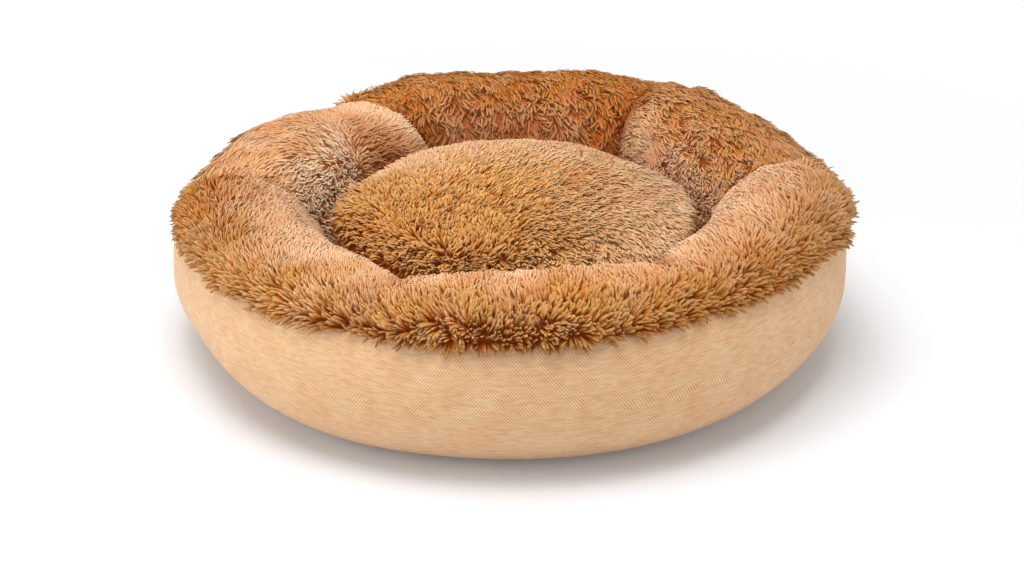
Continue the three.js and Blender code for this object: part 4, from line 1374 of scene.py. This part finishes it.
# Dots in staggered rows, out to the reach, on a grid with a spare row at each side.
def buildDotTree():
    tree, given = newGeometryTree("printDots", [
        *((label, "Float", value) for label, value in dots.items()), ("Rubber", "Material", None)])
    place = addNode(tree, "GeometryNodeInputPosition")
    steps = addNode(tree, *dividedBy, {0: given["Reach"], 1: given["Spacing"]})
    steps = addNode(tree, "ShaderNodeMath", {"operation": "CEIL"}, {0: steps})
    steps = addNode(tree, *timesPlus, {0: steps, 1: 2.0, 2: 3.0})
    span = addNode(tree, *minus, {0: steps, 1: 1.0})
    span = addNode(tree, *times, {0: span, 1: given["Spacing"]})
    rows = addNode(tree, "GeometryNodeMeshGrid", links={
        "Size X": span, "Size Y": span, "Vertices X": steps, "Vertices Y": steps})
    x, y = addNode(tree, "ShaderNodeSeparateXYZ", links={0: place}).outputs[:2]
    row = addNode(tree, *dividedBy, {0: y, 1: given["Spacing"]})
    row = addNode(tree, "ShaderNodeMath", {"operation": "ROUND"}, {0: row})
    odd = addNode(tree, "ShaderNodeMath", {"operation": "MODULO"}, {0: row, 1: 2.0})
    odd = addNode(tree, "ShaderNodeMath", {"operation": "ABSOLUTE"}, {0: odd})
    half = addNode(tree, *times, {0: odd, 1: 0.5})
    x = addNode(tree, *timesPlus, {0: half, 1: given["Spacing"], 2: x})
    y = addNode(tree, *times, {0: y, 1: 0.866})  # rows as near as in a honeycomb
    spot = addNode(tree, "ShaderNodeCombineXYZ", links={0: x, 1: y, 2: given["Cloth Height"]})
    rows = addNode(tree, "GeometryNodeSetPosition", links={"Geometry": rows, "Position": spot})
    away = addNode(tree, "ShaderNodeVectorMath", {"operation": "LENGTH"}, {0: place})
    inside = addNode(tree, "ShaderNodeMath", {"operation": "LESS_THAN"}, {0: away, 1: given["Reach"]})
    dot = addNode(tree, "GeometryNodeMeshUVSphere", links={"Segments": 6, "Rings": 4, "Radius": 1.0})
    size = addNode(tree, "ShaderNodeCombineXYZ", links={
        0: given["Dot Radius"], 1: given["Dot Radius"], 2: given["Dot Height"]})
    printed = addNode(tree, "GeometryNodeInstanceOnPoints", links={
        "Points": rows, "Selection": inside, "Instance": dot, "Scale": size})
    printed = addNode(tree, "GeometryNodeRealizeInstances", links={0: printed})
    printed = addNode(tree, "GeometryNodeSetMaterial", links={
        "Geometry": printed, "Material": given["Rubber"]})
    addNode(tree, "NodeGroupOutput", links={0: printed})
    return tree


footTheta = np.arange(base["edges"]) * 360 / base["edges"]
baseCloth = makeDisc("baseCloth", outerFootAt(footTheta), base["clothLow"], base["clothHigh"], dottedCloth)
settle(baseCloth, "bed", "non_slip_cloth", "base_panel")
nonSlipDots = makePiece("nonSlipDots", [(0, 0, 0)], [])
applyTree(nonSlipDots, buildDotTree(), {**dots, "Rubber": rubberMaterial()})
settle(nonSlipDots, "bed", "non_slip_cloth")
print("linings, base and dots made")


# Fillings: loose siliconised polyester fibre, white, soft and clouded.

filling = {
    "inset": 2.6, "cushionInset": 2.9, "footGap": 0.2, "lump": 0.5, "lumpSize": 14 * mm, "lumpSeed": 30,
    "around": 180, "over": 56, "turns": (-88, 268),
    "cloudSize": 18 * mm, "cloud": [(0.3, "#E8E5DE"), (0.7, "#F6F4EF")],
    "strandSize": 1.5 * mm, "relief": 1.5 * mm, "reliefStrength": 0.6, "roughness": 0.95, "sheen": 0.3,
}


def fibreMaterial():
    material, tree = newMaterial("loosePolyesterFibre")
    spot = addNode(tree, "ShaderNodeTexCoord").outputs["Object"]
    cloud = addNode(tree, "ShaderNodeTexNoise", links={
        "Vector": spot, "Scale": 1 / filling["cloudSize"], "Detail": 4.0})
    strands = addNode(tree, "ShaderNodeTexNoise", links={
        "Vector": spot, "Scale": 1 / filling["strandSize"], "Detail": 3.0, "Distortion": 2.0})
    colour = setStops(addNode(tree, "ShaderNodeValToRGB", links={0: cloud}), filling["cloud"])
    bump = addNode(tree, "ShaderNodeBump", links={
        "Height": strands, "Strength": filling["reliefStrength"], "Distance": filling["relief"]})
    shader = addNode(tree, "ShaderNodeBsdfPrincipled", links={
        "Base Color": colour, "Normal": bump, "Roughness": filling["roughness"],
        "Sheen Weight": filling["sheen"]})
    addNode(tree, "ShaderNodeOutputMaterial", links={"Surface": shader})
    return material


looseFibre = fibreMaterial()


def makeRingFibre():
    theta = np.arange(filling["around"]) * 360.0 / filling["around"]
    theta, turn = np.meshgrid(theta, np.linspace(*filling["turns"], filling["over"]), indexing="ij")
    grid = sectionPoint(theta, turn, -filling["inset"], *placeOnPanel(theta))
    lump = noiseAt(grid.reshape(-1, 3), filling["lumpSize"], filling["lumpSeed"]).reshape(theta.shape)
    grid = grid - gridNormals(grid) * (0.5 + 0.5 * lump[:, :, None]) * filling["lump"] * mm
    grid[:, :, 2] = np.maximum(grid[:, :, 2], (ring["footHeight"] + filling["footGap"]) * mm)
    rows, columns = grid.shape[:2]

    def at(i, j):
        return (i % rows) * columns + j % columns

    faces = [(at(i, j), at(i + 1, j), at(i + 1, j + 1), at(i, j + 1))
             for i in range(rows) for j in range(columns)]
    fibre = makePiece("ringFibre", grid.reshape(-1, 3), faces)
    fibre.data.materials.append(looseFibre)
    return fibre


ringFibre = makeRingFibre()
settle(ringFibre, "bed", "fibre_filling", "ring_filling")

lumpGrid = cushionForm - formNormals * filling["cushionInset"] * mm
cushionFibre = makePiece("cushionFibre", *closedForm(lumpGrid))
cushionFibre.data.materials.append(looseFibre)
settle(cushionFibre, "cushion", "fibre_filling", "cushion_filling")
print("fillings made")
